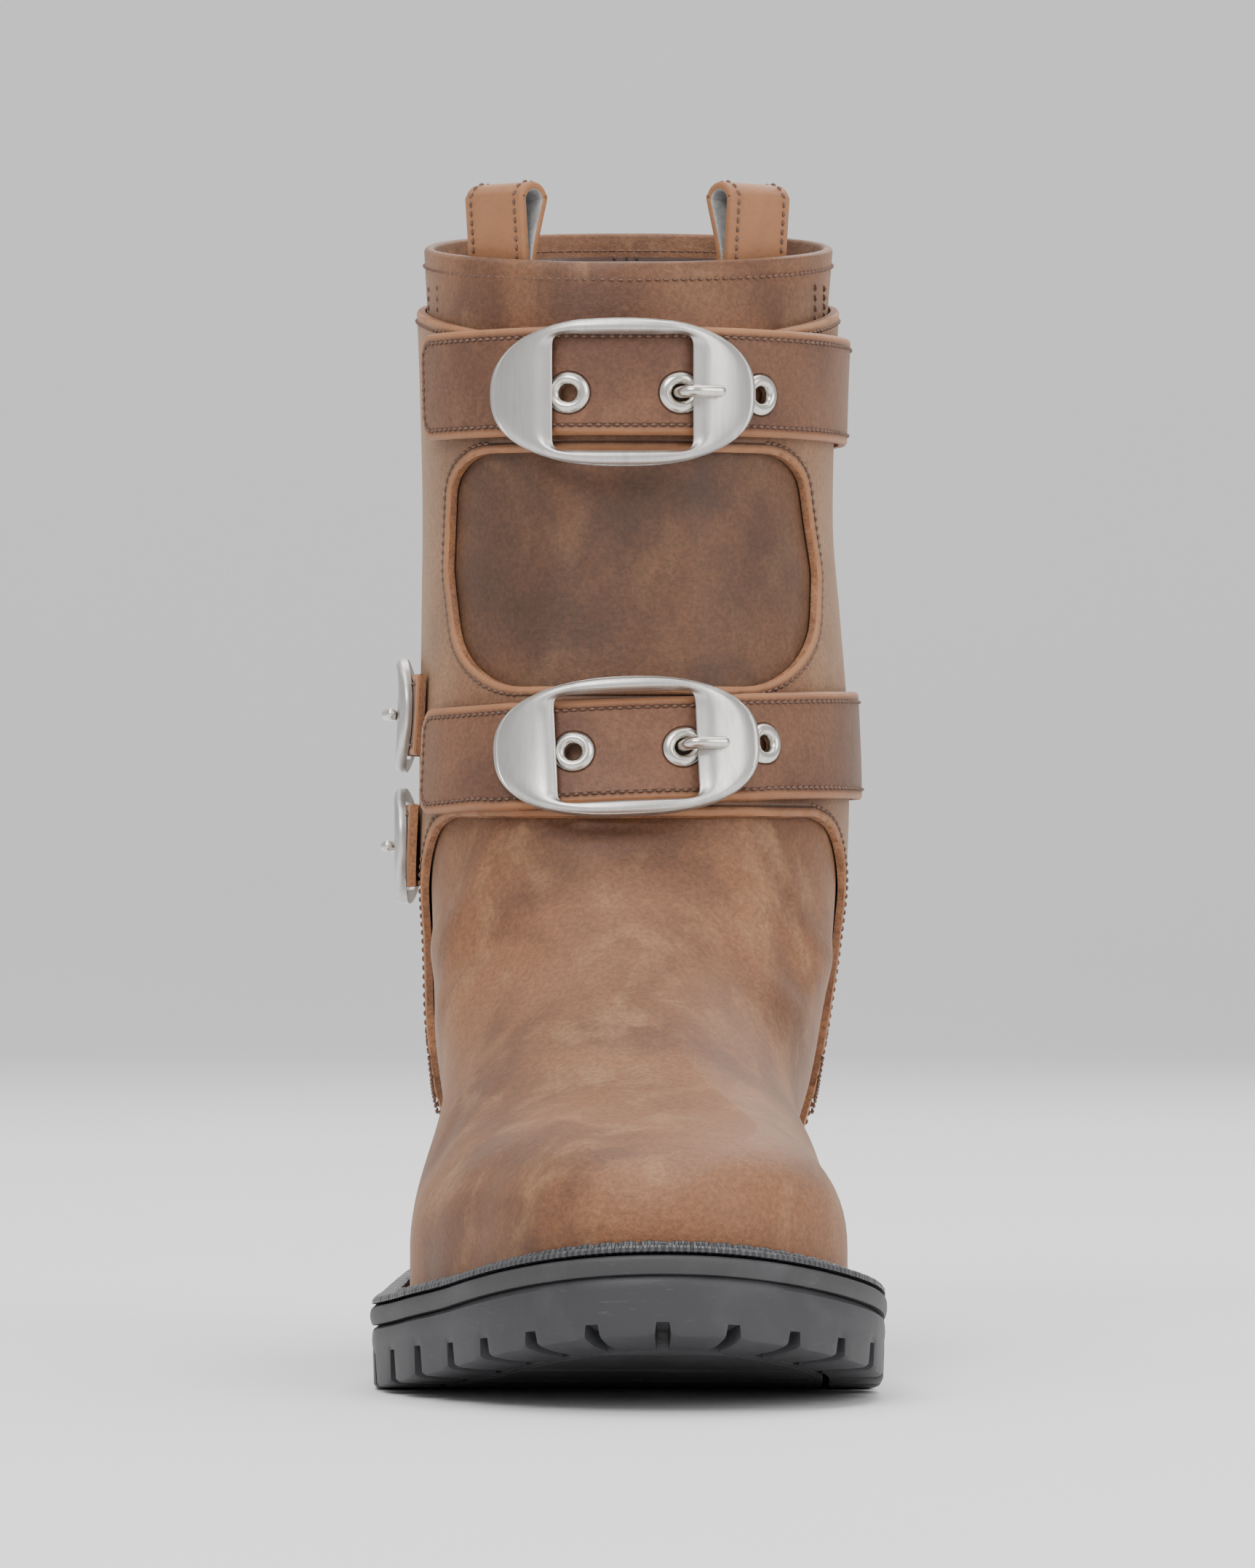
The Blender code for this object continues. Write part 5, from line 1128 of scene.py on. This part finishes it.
def buildFront(level, height, turnDegrees, centreX, buckleZ):
    low = level.lower()
    surface, spots = buildStrap(level, height, turnDegrees, centreX, buckleZ)
    patch = movedPatch(onFront, centreX, buckleZ, turnDegrees)
    seat = layers["strapTop"] + 2 * layers["gap"] + 0.0005
    ring = ringPiece("buckle" + level, patch, oval(buckleLook["long"], buckleLook["high"]),
                     oval(buckleLook["window"], buckleLook["windowHigh"], 14.0),
                     buckleProfile(seat, buckleLook["edge"], buckleLook["crown"]), 200, buckleNickel)
    settle(ring, "metal", "buckle_" + low)
    for number, (spotRun, spotAcross) in enumerate(spots):
        spot = (lambda r, a: lambda u, v, lift: surface(r + u, a + v, lift))(spotRun, spotAcross)
        buildEyelet("eyelet" + level + str(number + 1), spot, layers["strapTop"] + 0.0001,
                    "eyelet_" + low + "_" + str(number + 1))
    holeX = buckleLook["spots"][1] * buckleLook["long"]
    top = seat + buckleLook["crown"] + 0.0013
    path = ((holeX - 0.0004, 0.0, layers["harnessTop"] + 0.0016),
            (holeX - 0.0001, 0.0, layers["strapTop"] + 0.0009), (holeX + 0.0014, 0.0, top - 0.0012),
            (holeX + 0.0042, 0.0, top + 0.0001), (holeX + 0.0104, 0.0, top))
    buildProng("prong" + level, patch, path, 0.0014, "prong_" + low)


buildFront("Upper", strapSizes["upperZ"], 0.0, buckleLook["upperX"], buckleLook["upperZ"])
buildFront("Lower", strapSizes["lowerZ"], strapSizes["lowerTurn"], buckleLook["lowerX"], buckleLook["lowerZ"])
print("front straps made")

# Small straps on the outer side
sideLook = {
    "upperZ": 0.1497, "lowerZ": 0.1193, "wide": 0.019, "shares": (0.700, 0.778, 0.945), "bulge": 0.0016,
    "long": 0.036, "high": 0.0268, "window": 0.019, "windowHigh": 0.0206,
}


def buildSide(level, height):
    low, high = layers["strapLow"], layers["strapTop"]
    start, centre, end = (along(share) for share in sideLook["shares"])
    windowHalf = sideLook["window"] / 2

    def surface(y, across, lift):
        rise = np.clip(1 - ((y - centre) / windowHalf) ** 2, 0.0, 1.0) ** 1.3
        return onSide(y, height + across, lift + sideLook["bulge"] * rise)

    def field(y, across):
        body = roundBox(y - end + 0.1, across, 0.1, sideLook["wide"] / 2, strapSizes["corner"])
        body = np.minimum(body, y - start)
        return np.minimum(body, np.hypot(y - centre, across) - eyeletLook["hole"] / 2)

    # the side straps get a little tan all over as painted sheen
    piece = leatherSheet("sideStrap" + level, surface, np.linspace(start - 0.0005, end + 0.0006, 110),
                         np.linspace(-0.0102, 0.0102, 34), False, field, (1.0, 1.0), low, high,
                         (strapLeather, strapLeather, edgeLeather), lambda p: np.full(len(p), -0.12))
    settle(piece, "leather", "side_strap_" + level.lower())
    half = sideLook["wide"] / 2 - 0.0023
    corner = strapSizes["corner"] - 0.0023
    arc = np.linspace(0, math.pi / 2, 10)
    up = np.stack((end - 0.0023 - corner + corner * np.sin(arc), half - corner + corner * np.cos(arc)), -1)
    outline = np.concatenate((((start + 0.002, half),), up, up[::-1] * (1, -1), ((start + 0.002, -half),)))
    outline = evenSteps(outline)
    rowOn(surface, outline[:, 0], outline[:, 1], high)
    seat = high + layers["gap"]
    patch = movedPatch(onSide, centre, height)
    ring = ringPiece("sideBuckle" + level, patch, oval(sideLook["long"], sideLook["high"]),
                     oval(sideLook["window"] + 0.0006, sideLook["windowHigh"], 14.0),
                     buckleProfile(seat, buckleLook["edge"], buckleLook["crown"]), 140, buckleNickel)
    settle(ring, "metal", "side_buckle_" + level.lower())
    buildEyelet("sideEyelet" + level, lambda u, v, lift: surface(centre + u, v, lift), high + 0.0001,
                "side_eyelet_" + level.lower())
    over = high + sideLook["bulge"] + 0.0026
    rest = seat + buckleLook["crown"] + 0.0014
    path = ((0.0006, 0.0, over - 0.0024), (-0.0008, 0.0, over - 0.0004), (-0.0040, 0.0, over + 0.0001),
            (-0.0085, 0.0, rest + 0.0008), (-0.0140, 0.0, rest))
    buildProng("sideProng" + level, patch, path, 0.0013, "side_prong_" + level.lower())


buildSide("Upper", sideLook["upperZ"])
buildSide("Lower", sideLook["lowerZ"])
print("side straps made")

# Pull loops
loopLook = {"wide": 0.0195, "thick": 0.002, "rise": 0.0185, "tuck": 0.014, "sideX": 0.0335, "lean": 0.001,
            "eye": 0.0046, "back": 0.0012}


def buildLoop(name, side, node):
    # a band swept along a folded path: up, round the eye and down again
    turns = np.linspace(0.05, 1.5, 2000) * side
    rims = upperPoint(np.full(2000, 0.995), turns)
    turn = np.array(turns[np.argmin(np.abs(np.abs(rims[:, 0]) - loopLook["sideX"]))])
    rim = upperPoint(np.array(1.0), turn)
    way = upperPoint(np.array(0.995), turn + 1e-2) - upperPoint(np.array(0.995), turn - 1e-2)
    way[2] = 0.0
    way = unit(way)
    inward = np.array((-way[1], way[0], 0.0))
    sag = (loopLook["wide"] / 2) ** 2 / shaftSizes["width"]
    base = rim + inward * (lastSizes["wall"] + layers["gap"] + sag + loopLook["lean"])
    thick = loopLook["thick"]
    arch = thick + loopLook["eye"] / 2
    crown = loopLook["rise"] - arch
    angles = np.linspace(math.pi, 0, 15)
    middle = arch - thick / 2
    over = np.stack((arch - loopLook["back"] + middle * np.cos(angles), crown + middle * np.sin(angles)), -1)
    foot = -loopLook["tuck"]
    up = ((thick / 2, foot), (thick / 2, -0.004), (thick / 2 - 0.0003, 0.003))
    down = ((1.5 * thick + 0.0004, 0.003), (1.5 * thick, -0.004), (1.5 * thick, foot))
    path = softLine(np.concatenate((up, over, down)), 5)
    ways = unit(np.gradient(path, axis=0))
    out = np.stack((-ways[:, 1], ways[:, 0]), -1)
    half, r = loopLook["wide"] / 2, 0.0007
    corner = np.linspace(0, math.pi / 2, 4)
    ringU, ringV = [], []
    for su, sv, flip in ((1, 1, False), (-1, 1, True), (-1, -1, False), (1, -1, True)):
        c, s = np.cos(corner), np.sin(corner)
        u, v = su * (half - r + r * c), sv * (thick / 2 - r + r * s)
        if flip:
            u, v = u[::-1], v[::-1]
        ringU.append(u)
        ringV.append(v)
    ringU, ringV = np.concatenate(ringU), np.concatenate(ringV)
    flat = path[:, None] + out[:, None] * ringV[None, :, None]
    points = (base + flat[..., :1] * inward + flat[..., 1:] * np.array((0.0, 0.0, 1.0))
              + ringU[None, :, None] * way)
    rows, columns = points.shape[:2]
    quads = gridQuads(rows, columns, wrapColumns=True)
    meanV = ringV[quads % columns].mean(1)
    kinds = np.where(meanV < -thick / 2 + r * 0.6, 1, 0)
    faces = cappedQuads(rows, columns)
    kinds = np.append(kinds, (0, 0))
    edge = np.broadcast_to(half - np.abs(ringU), (rows, columns))
    piece = makePiece(name, points, faces, (strapLeather, loopSuede), kinds,
                      {"edge": edge, "toneAndPaintedLight": np.full((rows, columns), -0.25)}, angle=60.0)
    settle(piece, "leather", node)
    seen = path[:, 1] > -0.001
    flatTop = path[seen] + out[seen] * thick / 2
    for u in (-half + 0.0023, half - 0.0023):
        line = base + flatTop[:, :1] * inward + flatTop[:, 1:] * np.array((0.0, 0.0, 1.0)) + u * way
        normal = out[seen][:, :1] * inward + out[seen][:, 1:] * np.array((0.0, 0.0, 1.0))
        stitchRow(line, normal)


buildLoop("pullLoopOuter", -1.0, "pull_loop_lateral")
buildLoop("pullLoopInner", 1.0, "pull_loop_medial")
print("pull loops made")

# Sole
soleLook = {"lugBevel": 0.0010, "waistEnd": 0.13}


def outsoleTop(y):
    return seatAt(y) - soleSizes["midsole"] - layers["gap"]


def outsoleBottom(y):
    # tread level in front, thin shank behind
    start, end = along(soleSizes["treadEnd"]), along(soleSizes["treadEnd"] + soleLook["waistEnd"])
    thin = outsoleTop(y) - soleSizes["shank"]
    return springAt(y) + (thin - springAt(y)) * ease((y - start) / (end - start))


def treadCeiling(y):
    deep = ease((y - toeY + 0.008) / (0.25 * lastSizes["length"]))
    return springAt(y) + soleSizes["toeLugDepth"] + (soleSizes["lugDepth"] - soleSizes["toeLugDepth"]) * deep


def edgeRun(side):
    # turn against the length of the sole's edge, from the toe round one side
    turns = np.linspace(0.0, math.pi, 2400) * side
    line = soleOutline(turns)
    return np.append(0.0, np.cumsum(np.linalg.norm(np.diff(line, axis=0), axis=1))), turns


def edgeColumns(low, high, centres, half):
    # places along the edge: crisp pairs at each slot wall, even ones between
    even = np.linspace(low, high, int((high - low) / 0.0040) + 2)
    marks = [even]
    for centre in centres:
        marks.append(centre + np.array((-half - 0.0016, -half - 0.0007, -half - 0.0001, -half + 0.0003,
                                        half - 0.0003, half + 0.0001, half + 0.0007, half + 0.0016)))
    marks = np.unique(np.round(np.concatenate(marks), 7))
    marks = marks[(marks >= low) & (marks <= high)]
    away = np.min(np.abs(marks[:, None] - np.asarray(centres)[None]), axis=1)
    plainMarks = np.isin(np.round(marks, 7), np.round(even, 7))
    keep = ~(plainMarks & (away < half + 0.0022)) | (marks == low) | (marks == high)
    return marks[keep]


def soleRing(side):
    # columns of one side: turn, how much of a slot, and how near a lug's corner
    run, turns = edgeRun(side)
    pitch, half = soleSizes["lugPitch"], soleSizes["slot"] / 2
    centres = np.arange(0, int(run[-1] / pitch) + 1) * pitch
    lineY = soleOutline(np.interp(centres, run, turns * side) * side)[:, 1]
    tread = centres[lineY < along(soleSizes["treadEnd"]) - soleSizes["slot"]]
    marks = edgeColumns(0.0, run[-1], tread, half)
    away = np.min(np.abs(marks[:, None] - tread[None]), axis=1)
    slot = (away < half).astype(float)
    corner = np.clip(1 - (away - half) / 0.0016, 0, 1) * (away >= half)
    return np.interp(marks, run, turns * side) * side, slot, corner


def buildOutsole():
    outer = [soleRing(side) for side in (-1.0, 1.0)]
    turn = np.concatenate((outer[0][0][::-1][:-1], outer[1][0]))[:-1]
    slot = np.concatenate((outer[0][1][::-1][:-1], outer[1][1]))[:-1]
    corner = np.concatenate((outer[0][2][::-1][:-1], outer[1][2]))[:-1]
    edgeY = soleOutline(turn)[:, 1]
    top, bottom, ceiling = outsoleTop(edgeY), outsoleBottom(edgeY), treadCeiling(edgeY)
    bevel = soleLook["lugBevel"]
    levels = []
    length = soleSizes["lugLength"]

    def row(inset, z):
        xy = soleOutline(turn, np.broadcast_to(inset, turn.shape))
        levels.append(np.column_stack((xy, z)))

    def tread(inset):
        # the underside's own height where the row lies, slots up at their ceiling
        y = soleOutline(turn, np.full_like(turn, inset))[:, 1]
        return outsoleBottom(y), treadCeiling(y)

    row(0.0150, top)
    row(0.0024, top)
    row(0.0016, top - 0.0002)
    row(0.0011, top - 0.0008)
    for share in (0.15, 0.30, 0.5, 0.7, 0.86):
        z = top + (np.maximum(ceiling, bottom + bevel) + 0.0004 - top) * share
        row(0.0008 - 0.0004 * math.sin(math.pi * share), z)
    high = np.where(slot > 0, ceiling, np.maximum(ceiling, bottom + bevel) + 0.0004)
    row(0.0006 + 0.0002 * slot, np.where(slot > 0, ceiling, high))
    row(0.0008 + 0.0003 * corner, np.where(slot > 0, ceiling, bottom + bevel))
    row(0.0012 + 0.0004 * corner, np.where(slot > 0, ceiling, bottom + 0.3 * bevel + 0.0003 * corner))
    row(0.0020 + 0.0003 * corner, np.where(slot > 0, ceiling, bottom + 0.0002 * corner))
    for inset in (0.0060, 0.0095, length - 0.0016):
        low, up = tread(inset)
        row(inset, np.where(slot > 0, up, low + 0.0002 * corner))
    channelled = (edgeY < along(soleSizes["treadEnd"] - 0.03)).astype(float)
    for inset, deep in ((length - 0.001, 0.0), (length - 0.0008, 1.0), (length + 0.0017, 1.0),
                        (length + 0.0019, 0.0)):
        low, up = tread(inset)
        row(inset, np.where(channelled * deep > 0, up - 0.0012,
                            np.where((slot > 0) & (inset < length), up, low)))
    points = np.array(levels)
    faces = gridQuads(points.shape[0], points.shape[1], wrapRows=True, wrapColumns=True)
    # the core inside the row of lugs, with grooves across it
    turns = np.linspace(0.30, math.pi - 0.30, 120)
    bars = along(np.array((0.115, 0.185, 0.255, 0.325, 0.395)))
    core = []
    for share in (0.0, 0.04, 0.25, 0.5, 0.75, 0.96, 1.0):
        left = soleOutline(-turns, np.full_like(turns, length + 0.0005))
        right = soleOutline(turns, np.full_like(turns, length + 0.0005))
        xy = left * (1 - share) + right * share
        near = np.min(np.abs(xy[:, 1:2] - bars[None]), axis=1)
        groove = (near < soleSizes["channel"] / 2) * (0.1 < share < 0.9) * (soleSizes["lugDepth"] - 0.0018)
        core.append(np.column_stack((xy, outsoleBottom(xy[:, 1]) + 0.0001 + groove)))
    for share in (1.0, 0.5, 0.0):
        xy = (soleOutline(-turns, np.full_like(turns, length + 0.0005)) * (1 - share)
              + soleOutline(turns, np.full_like(turns, length + 0.0005)) * share)
        core.append(np.column_stack((xy, outsoleTop(xy[:, 1]) - 0.0003)))
    core = np.array(core).transpose(1, 0, 2)
    coreFaces = gridQuads(core.shape[0], core.shape[1], wrapColumns=True) + points.shape[0] * points.shape[1]
    start = points.shape[0] * points.shape[1]
    ends = [[start + i for i in range(core.shape[1])],
            [start + core.shape[0] * core.shape[1] - 1 - i for i in range(core.shape[1])]]
    allPoints = np.concatenate((points.reshape(-1, 3), core.reshape(-1, 3)))
    allFaces = faces.tolist() + coreFaces.tolist() + ends
    piece = makePiece("outsoleTread", allPoints, allFaces, (soleRubber,), angle=32.0)
    settle(piece, "rubber", "outsole")


def buildHeel():
    # a ring of lugs round the heel closed by a straight breast, and a cap under it
    sides = []
    half = soleSizes["slot"] / 2
    breastY = along(soleSizes["breast"])
    for side in (-1.0, 1.0):
        run, turns = edgeRun(side)
        line = soleOutline(turns)
        low = float(np.interp(breastY, line[:, 1], run))
        pitch = soleSizes["lugPitch"]
        centres = np.arange(0, int(run[-1] / pitch) + 1) * pitch
        lineY = soleOutline(np.interp(centres, run, turns * side) * side)[:, 1]
        centres = centres[lineY > breastY + soleSizes["slot"] * 1.5]
        marks = edgeColumns(low, run[-1], centres, half)
        away = np.min(np.abs(marks[:, None] - centres[None]), axis=1)
        sides.append((np.interp(marks, run, turns * side) * side, (away < half) * 1.0,
                      np.clip(1 - (away - half) / 0.0016, 0, 1) * (away >= half)))
    turn = np.concatenate((sides[0][0], sides[1][0][::-1][1:]))
    slot = np.concatenate((sides[0][1], sides[1][1][::-1][1:]))
    corner = np.concatenate((sides[0][2], sides[1][2][::-1][1:]))
    straight = 14
    spineStart, spineEnd = np.array((middleShift, breastY + 0.030)), np.array((middleShift, heelY - 0.034))

    def ring(inset):
        edge = soleOutline(turn, np.full_like(turn, min(inset, 0.003)))
        breast = edge[-1] + (edge[0] - edge[-1]) * np.linspace(0, 1, straight + 2)[1:-1, None]
        edge = np.concatenate((edge, breast))
        if inset > 0.003:
            t = np.clip((edge[:, 1] - spineStart[1]) / (spineEnd[1] - spineStart[1]), 0, 1)
            spine = spineStart + t[:, None] * (spineEnd - spineStart)
            edge = edge + unit(spine - edge) * (inset - 0.003)
        return edge

    slot = np.concatenate((slot, np.zeros(straight)))
    corner = np.concatenate((corner, np.zeros(straight)))
    levels = []

    def row(inset, low, high, fixed=None):
        xy = ring(inset)
        y = xy[:, 1]
        top = outsoleBottom(y) - layers["gap"]
        levels.append(np.column_stack((xy, top * high + low if fixed is None else fixed)))

    row(0.016, 0.0, 1.0)
    row(0.0020, 0.0, 1.0)
    row(0.0012, -0.0007, 1.0)
    row(0.0006, 0.0, 0.75)
    row(0.0010, 0.0, 0.55)
    depth = soleSizes["lugDepth"]
    ones = np.ones_like(slot)
    row(0.0016, 0, 0, ones * (depth + 0.0022))
    row(0.0019, 0, 0, np.where(slot > 0, depth, depth + 0.0002))
    row(0.0023, 0, 0, np.where(slot > 0, depth, 0.0009))
    row(0.0027, 0, 0, np.where(slot > 0, depth, 0.0002 + 0.0002 * corner))
    row(0.0036, 0, 0, np.where(slot > 0, depth, 0.0))
    row(0.0135, 0, 0, np.where(slot > 0, depth, 0.0))
    row(0.0138, 0, 0, ones * 0.0)
    points = np.array(levels)
    rows, columns = points.shape[:2]
    faces = cappedQuads(rows, columns)
    settle(makePiece("heelBlock", points, faces, (soleRubber,), angle=32.0), "rubber", "heel")


def buildMidsole():
    # ring whose side has a rounded top lip and a small step above the outsole
    turn = np.linspace(-math.pi, math.pi, 420, endpoint=False)
    high = soleSizes["midsole"]
    levels = []
    for inset, drop in ((0.0160, 0.0), (0.0018, 0.0), (0.0008, 0.00015), (0.0002, 0.0007), (0.0, 0.0014),
                        (0.0, 0.0026), (0.0002, 0.0034), (0.0006, high), (0.0160, high)):
        xy = soleOutline(turn, np.full_like(turn, inset))
        levels.append(np.column_stack((xy, seatAt(xy[:, 1]) - drop)))
    points = np.array(levels)
    faces = gridQuads(points.shape[0], points.shape[1], wrapRows=True, wrapColumns=True)
    settle(makePiece("midsoleBand", points, faces, (lipRubber,), angle=50.0), "rubber", "midsole")


weltLook = {"pitch": 0.0057, "lip": 0.0014, "bead": 0.0034, "beadWide": 0.0021, "columns": 14}


def buildWelt():
    # a flat lip with a row of pinched beads against the leather
    dense = np.linspace(-math.pi, math.pi, 4000)
    line = soleOutline(dense)
    run = np.append(0.0, np.cumsum(np.linalg.norm(np.diff(line, axis=0), axis=1)))
    beads = int(round(run[-1] / weltLook["pitch"]))
    at = np.arange(beads * weltLook["columns"]) / (beads * weltLook["columns"])
    turn = np.interp(at * run[-1], run, dense)
    phase = (np.arange(len(at)) % weltLook["columns"]) / weltLook["columns"] * 2 - 1
    swell = superRound(np.abs(phase + 1 / weltLook["columns"]), 3.2)
    outer = soleOutline(turn, np.full_like(turn, 0.0004))
    inner = upperSurface(np.full_like(turn, 0.012), turn, np.full_like(turn, layers["weltGap"]))[:, :2]
    way = unit(outer - inner)
    reach = np.linalg.norm(outer - inner, axis=1)
    lip = weltLook["lip"]
    scallop = 0.0004 * (1 - swell)
    levels, across = [], []

    def row(distance, z):
        xy = inner + way * distance[:, None]
        levels.append(np.column_stack((xy, seatAt(xy[:, 1]) + layers["skinGap"] + z)))
        across.append(distance)

    wide, bead = weltLook["beadWide"], weltLook["bead"]
    row(np.zeros_like(reach), np.zeros_like(reach))
    row(reach - scallop, np.zeros_like(reach))
    row(reach - scallop, np.full_like(reach, 0.6 * lip))
    row(reach - scallop - 0.0005, np.full_like(reach, lip))
    row(np.maximum(reach * 0.75, wide + 0.0012), np.full_like(reach, lip))
    row(wide + 0.0006 + 0.0003 * swell, np.full_like(reach, lip))
    for part in (0.0, 0.25, 0.5, 0.75, 1.0):
        angle = part * math.pi * 0.62
        height = lip + (0.0006 + (bead - 0.0006 - lip) * (0.45 + 0.55 * swell)) * math.sin(angle)
        row(wide * (0.55 + 0.55 * np.cos(angle)) * (0.72 + 0.28 * swell), height)
    row(np.zeros_like(reach), 0.4 * bead + 0 * reach)
    points = np.array(levels)
    faces = gridQuads(points.shape[0], points.shape[1], wrapRows=True, wrapColumns=True)
    runs = np.broadcast_to(at * run[-1] * 10, points.shape[:2])
    uv = np.stack((runs, np.array(across) * 10), -1)
    piece = makePiece("weltBeads", points, faces, (weltRubber,), uv=uv, angle=48.0)
    settle(piece, "rubber", "welt")


insoleLook = {"gap": 0.0016, "thick": 0.0024, "dish": 0.0005, "ribs": 15}


def buildInsole():
    # a padded footbed: a grid inside the wall, a little lower along its middle
    turn = np.linspace(0.02, math.pi - 0.02, 120)
    inset = lastSizes["wall"] + insoleLook["gap"]
    sides = []
    for side in (-1.0, 1.0):
        at = side * turn
        foot = upperPoint(np.zeros_like(at), at)[:, :2]
        ahead, behind = (upperPoint(np.zeros_like(at), at + step)[:, :2] for step in (2e-3, -2e-3))
        way = unit(ahead - behind)
        sides.append(foot - np.stack((way[:, 1], -way[:, 0]), -1) * inset)
    ribs = []
    for share in np.append(np.linspace(0, 1, insoleLook["ribs"]), np.linspace(1, 0, 5)):
        top = len(ribs) < insoleLook["ribs"]
        xy = sides[0] * (1 - share) + sides[1] * share
        z = seatAt(xy[:, 1]) + layers["layerGap"]
        if top:
            z = z + insoleLook["thick"] + insoleLook["dish"] * (2 * share - 1) ** 2
        ribs.append(np.column_stack((xy, z)))
    points = np.array(ribs).transpose(1, 0, 2)
    rows, columns = points.shape[:2]
    faces = cappedQuads(rows, columns)
    settle(makePiece("footbed", points, faces, (insoleFelt,), angle=50.0), "insole", "insole")


buildOutsole()
buildHeel()
buildMidsole()
buildWelt()
buildInsole()
print("sole made")

# all the stitches are one piece of thread
stitches = makePiece("stitches", np.concatenate(stitchPoints), stitchFaces, (darkThread,), angle=60.0)
settle(stitches, "leather")
print("stitches made", len(stitchFaces))

# Stage, light and camera
stageLook = {"floor": (0.80, 0.80, 0.80, 1), "floorLight": (0.83, 0.83, 0.83, 1), "wall": 2.4, "curve": 0.9}


def buildStage():
    # a floor that turns up into a wall through a quarter circle
    angles = np.linspace(0, math.pi / 2, 24)
    y = np.concatenate(((-6.0, -1.0, 0.0, 1.0), stageLook["wall"] + stageLook["curve"] * np.sin(angles),
                        (stageLook["wall"] + stageLook["curve"],)))
    z = np.concatenate((np.zeros(4), stageLook["curve"] * (1 - np.cos(angles)), (5.0,)))
    x = np.linspace(-6, 6, 9)
    points = np.stack(np.broadcast_arrays(x[None], y[:, None], z[:, None]), -1)
    m, shader = graph("paleFloor")
    coordinates = add(m, "ShaderNodeTexCoord").outputs["Object"]
    cloud = noise(m, coordinates, 3.0, 2.0)
    color = blendColor(m, cloud, stageLook["floor"], stageLook["floorLight"])
    m.node_tree.links.new(color, shader.inputs["Base Color"])
    shader.inputs["Roughness"].default_value = 0.9
    shader.inputs["Specular IOR Level"].default_value = 0.1
    mesh = bpy.data.meshes.new("floor")
    mesh.from_pydata(points.reshape(-1, 3), [], gridQuads(len(y), len(x)).tolist())
    mesh.shade_smooth()
    mesh.materials.append(m)
    floor = bpy.data.objects.new("floor", mesh)
    bpy.context.scene.collection.objects.link(floor)


def softBox(name, place, target, size, power):
    light = bpy.data.lights.new(name, "AREA")
    light.shape = "RECTANGLE"
    light.size, light.size_y = size
    light.energy = power
    lamp = bpy.data.objects.new(name, light)
    bpy.context.scene.collection.objects.link(lamp)
    lamp.location = place
    away = np.subtract(target, place)
    lamp.rotation_euler = (math.atan2(math.hypot(away[0], away[1]), -away[2]), 0.0,
                           math.atan2(away[1], away[0]) - math.pi / 2)


buildStage()
# place, what it points at, size in metres and power in watts
lightLook = {
    "keyLight": ((-0.7, -1.6, 1.7), (0, 0, 0.13), (1.2, 1.0), 34),
    "fillLight": ((1.3, -1.1, 0.9), (0, 0, 0.12), (0.9, 1.2), 15),
    "topLight": ((0.0, 0.2, 2.0), (0, 0, 0.1), (1.8, 1.6), 30),
    "backLight": ((0.4, 1.5, 1.4), (0, 0, 0.15), (1.6, 1.0), 18),
}
for lightName, lightValues in lightLook.items():
    softBox(lightName, *lightValues)
world = bpy.data.worlds.new("studio")
world.use_nodes = True
world.node_tree.nodes["Background"].inputs[0].default_value = (1.0, 1.0, 1.0, 1)
world.node_tree.nodes["Background"].inputs[1].default_value = 0.72
bpy.context.scene.world = world

cameraLook = {"place": (0.0002, -2.060, 0.1337), "lens": 208.5}
cameraData = bpy.data.cameras.new("photoCamera")
cameraData.lens = cameraLook["lens"]
cameraData.sensor_width = 36.0
camera = bpy.data.objects.new("photoCamera", cameraData)
bpy.context.scene.collection.objects.link(camera)
camera.location = cameraLook["place"]
camera.rotation_euler = (math.pi / 2, 0.0, 0.0)
cameraData.clip_start, cameraData.clip_end = 0.05, 50.0
bpy.context.scene.camera = camera

print("triangles", sum(sum(len(p.vertices) - 2 for p in piece.data.polygons) for piece in pieces))
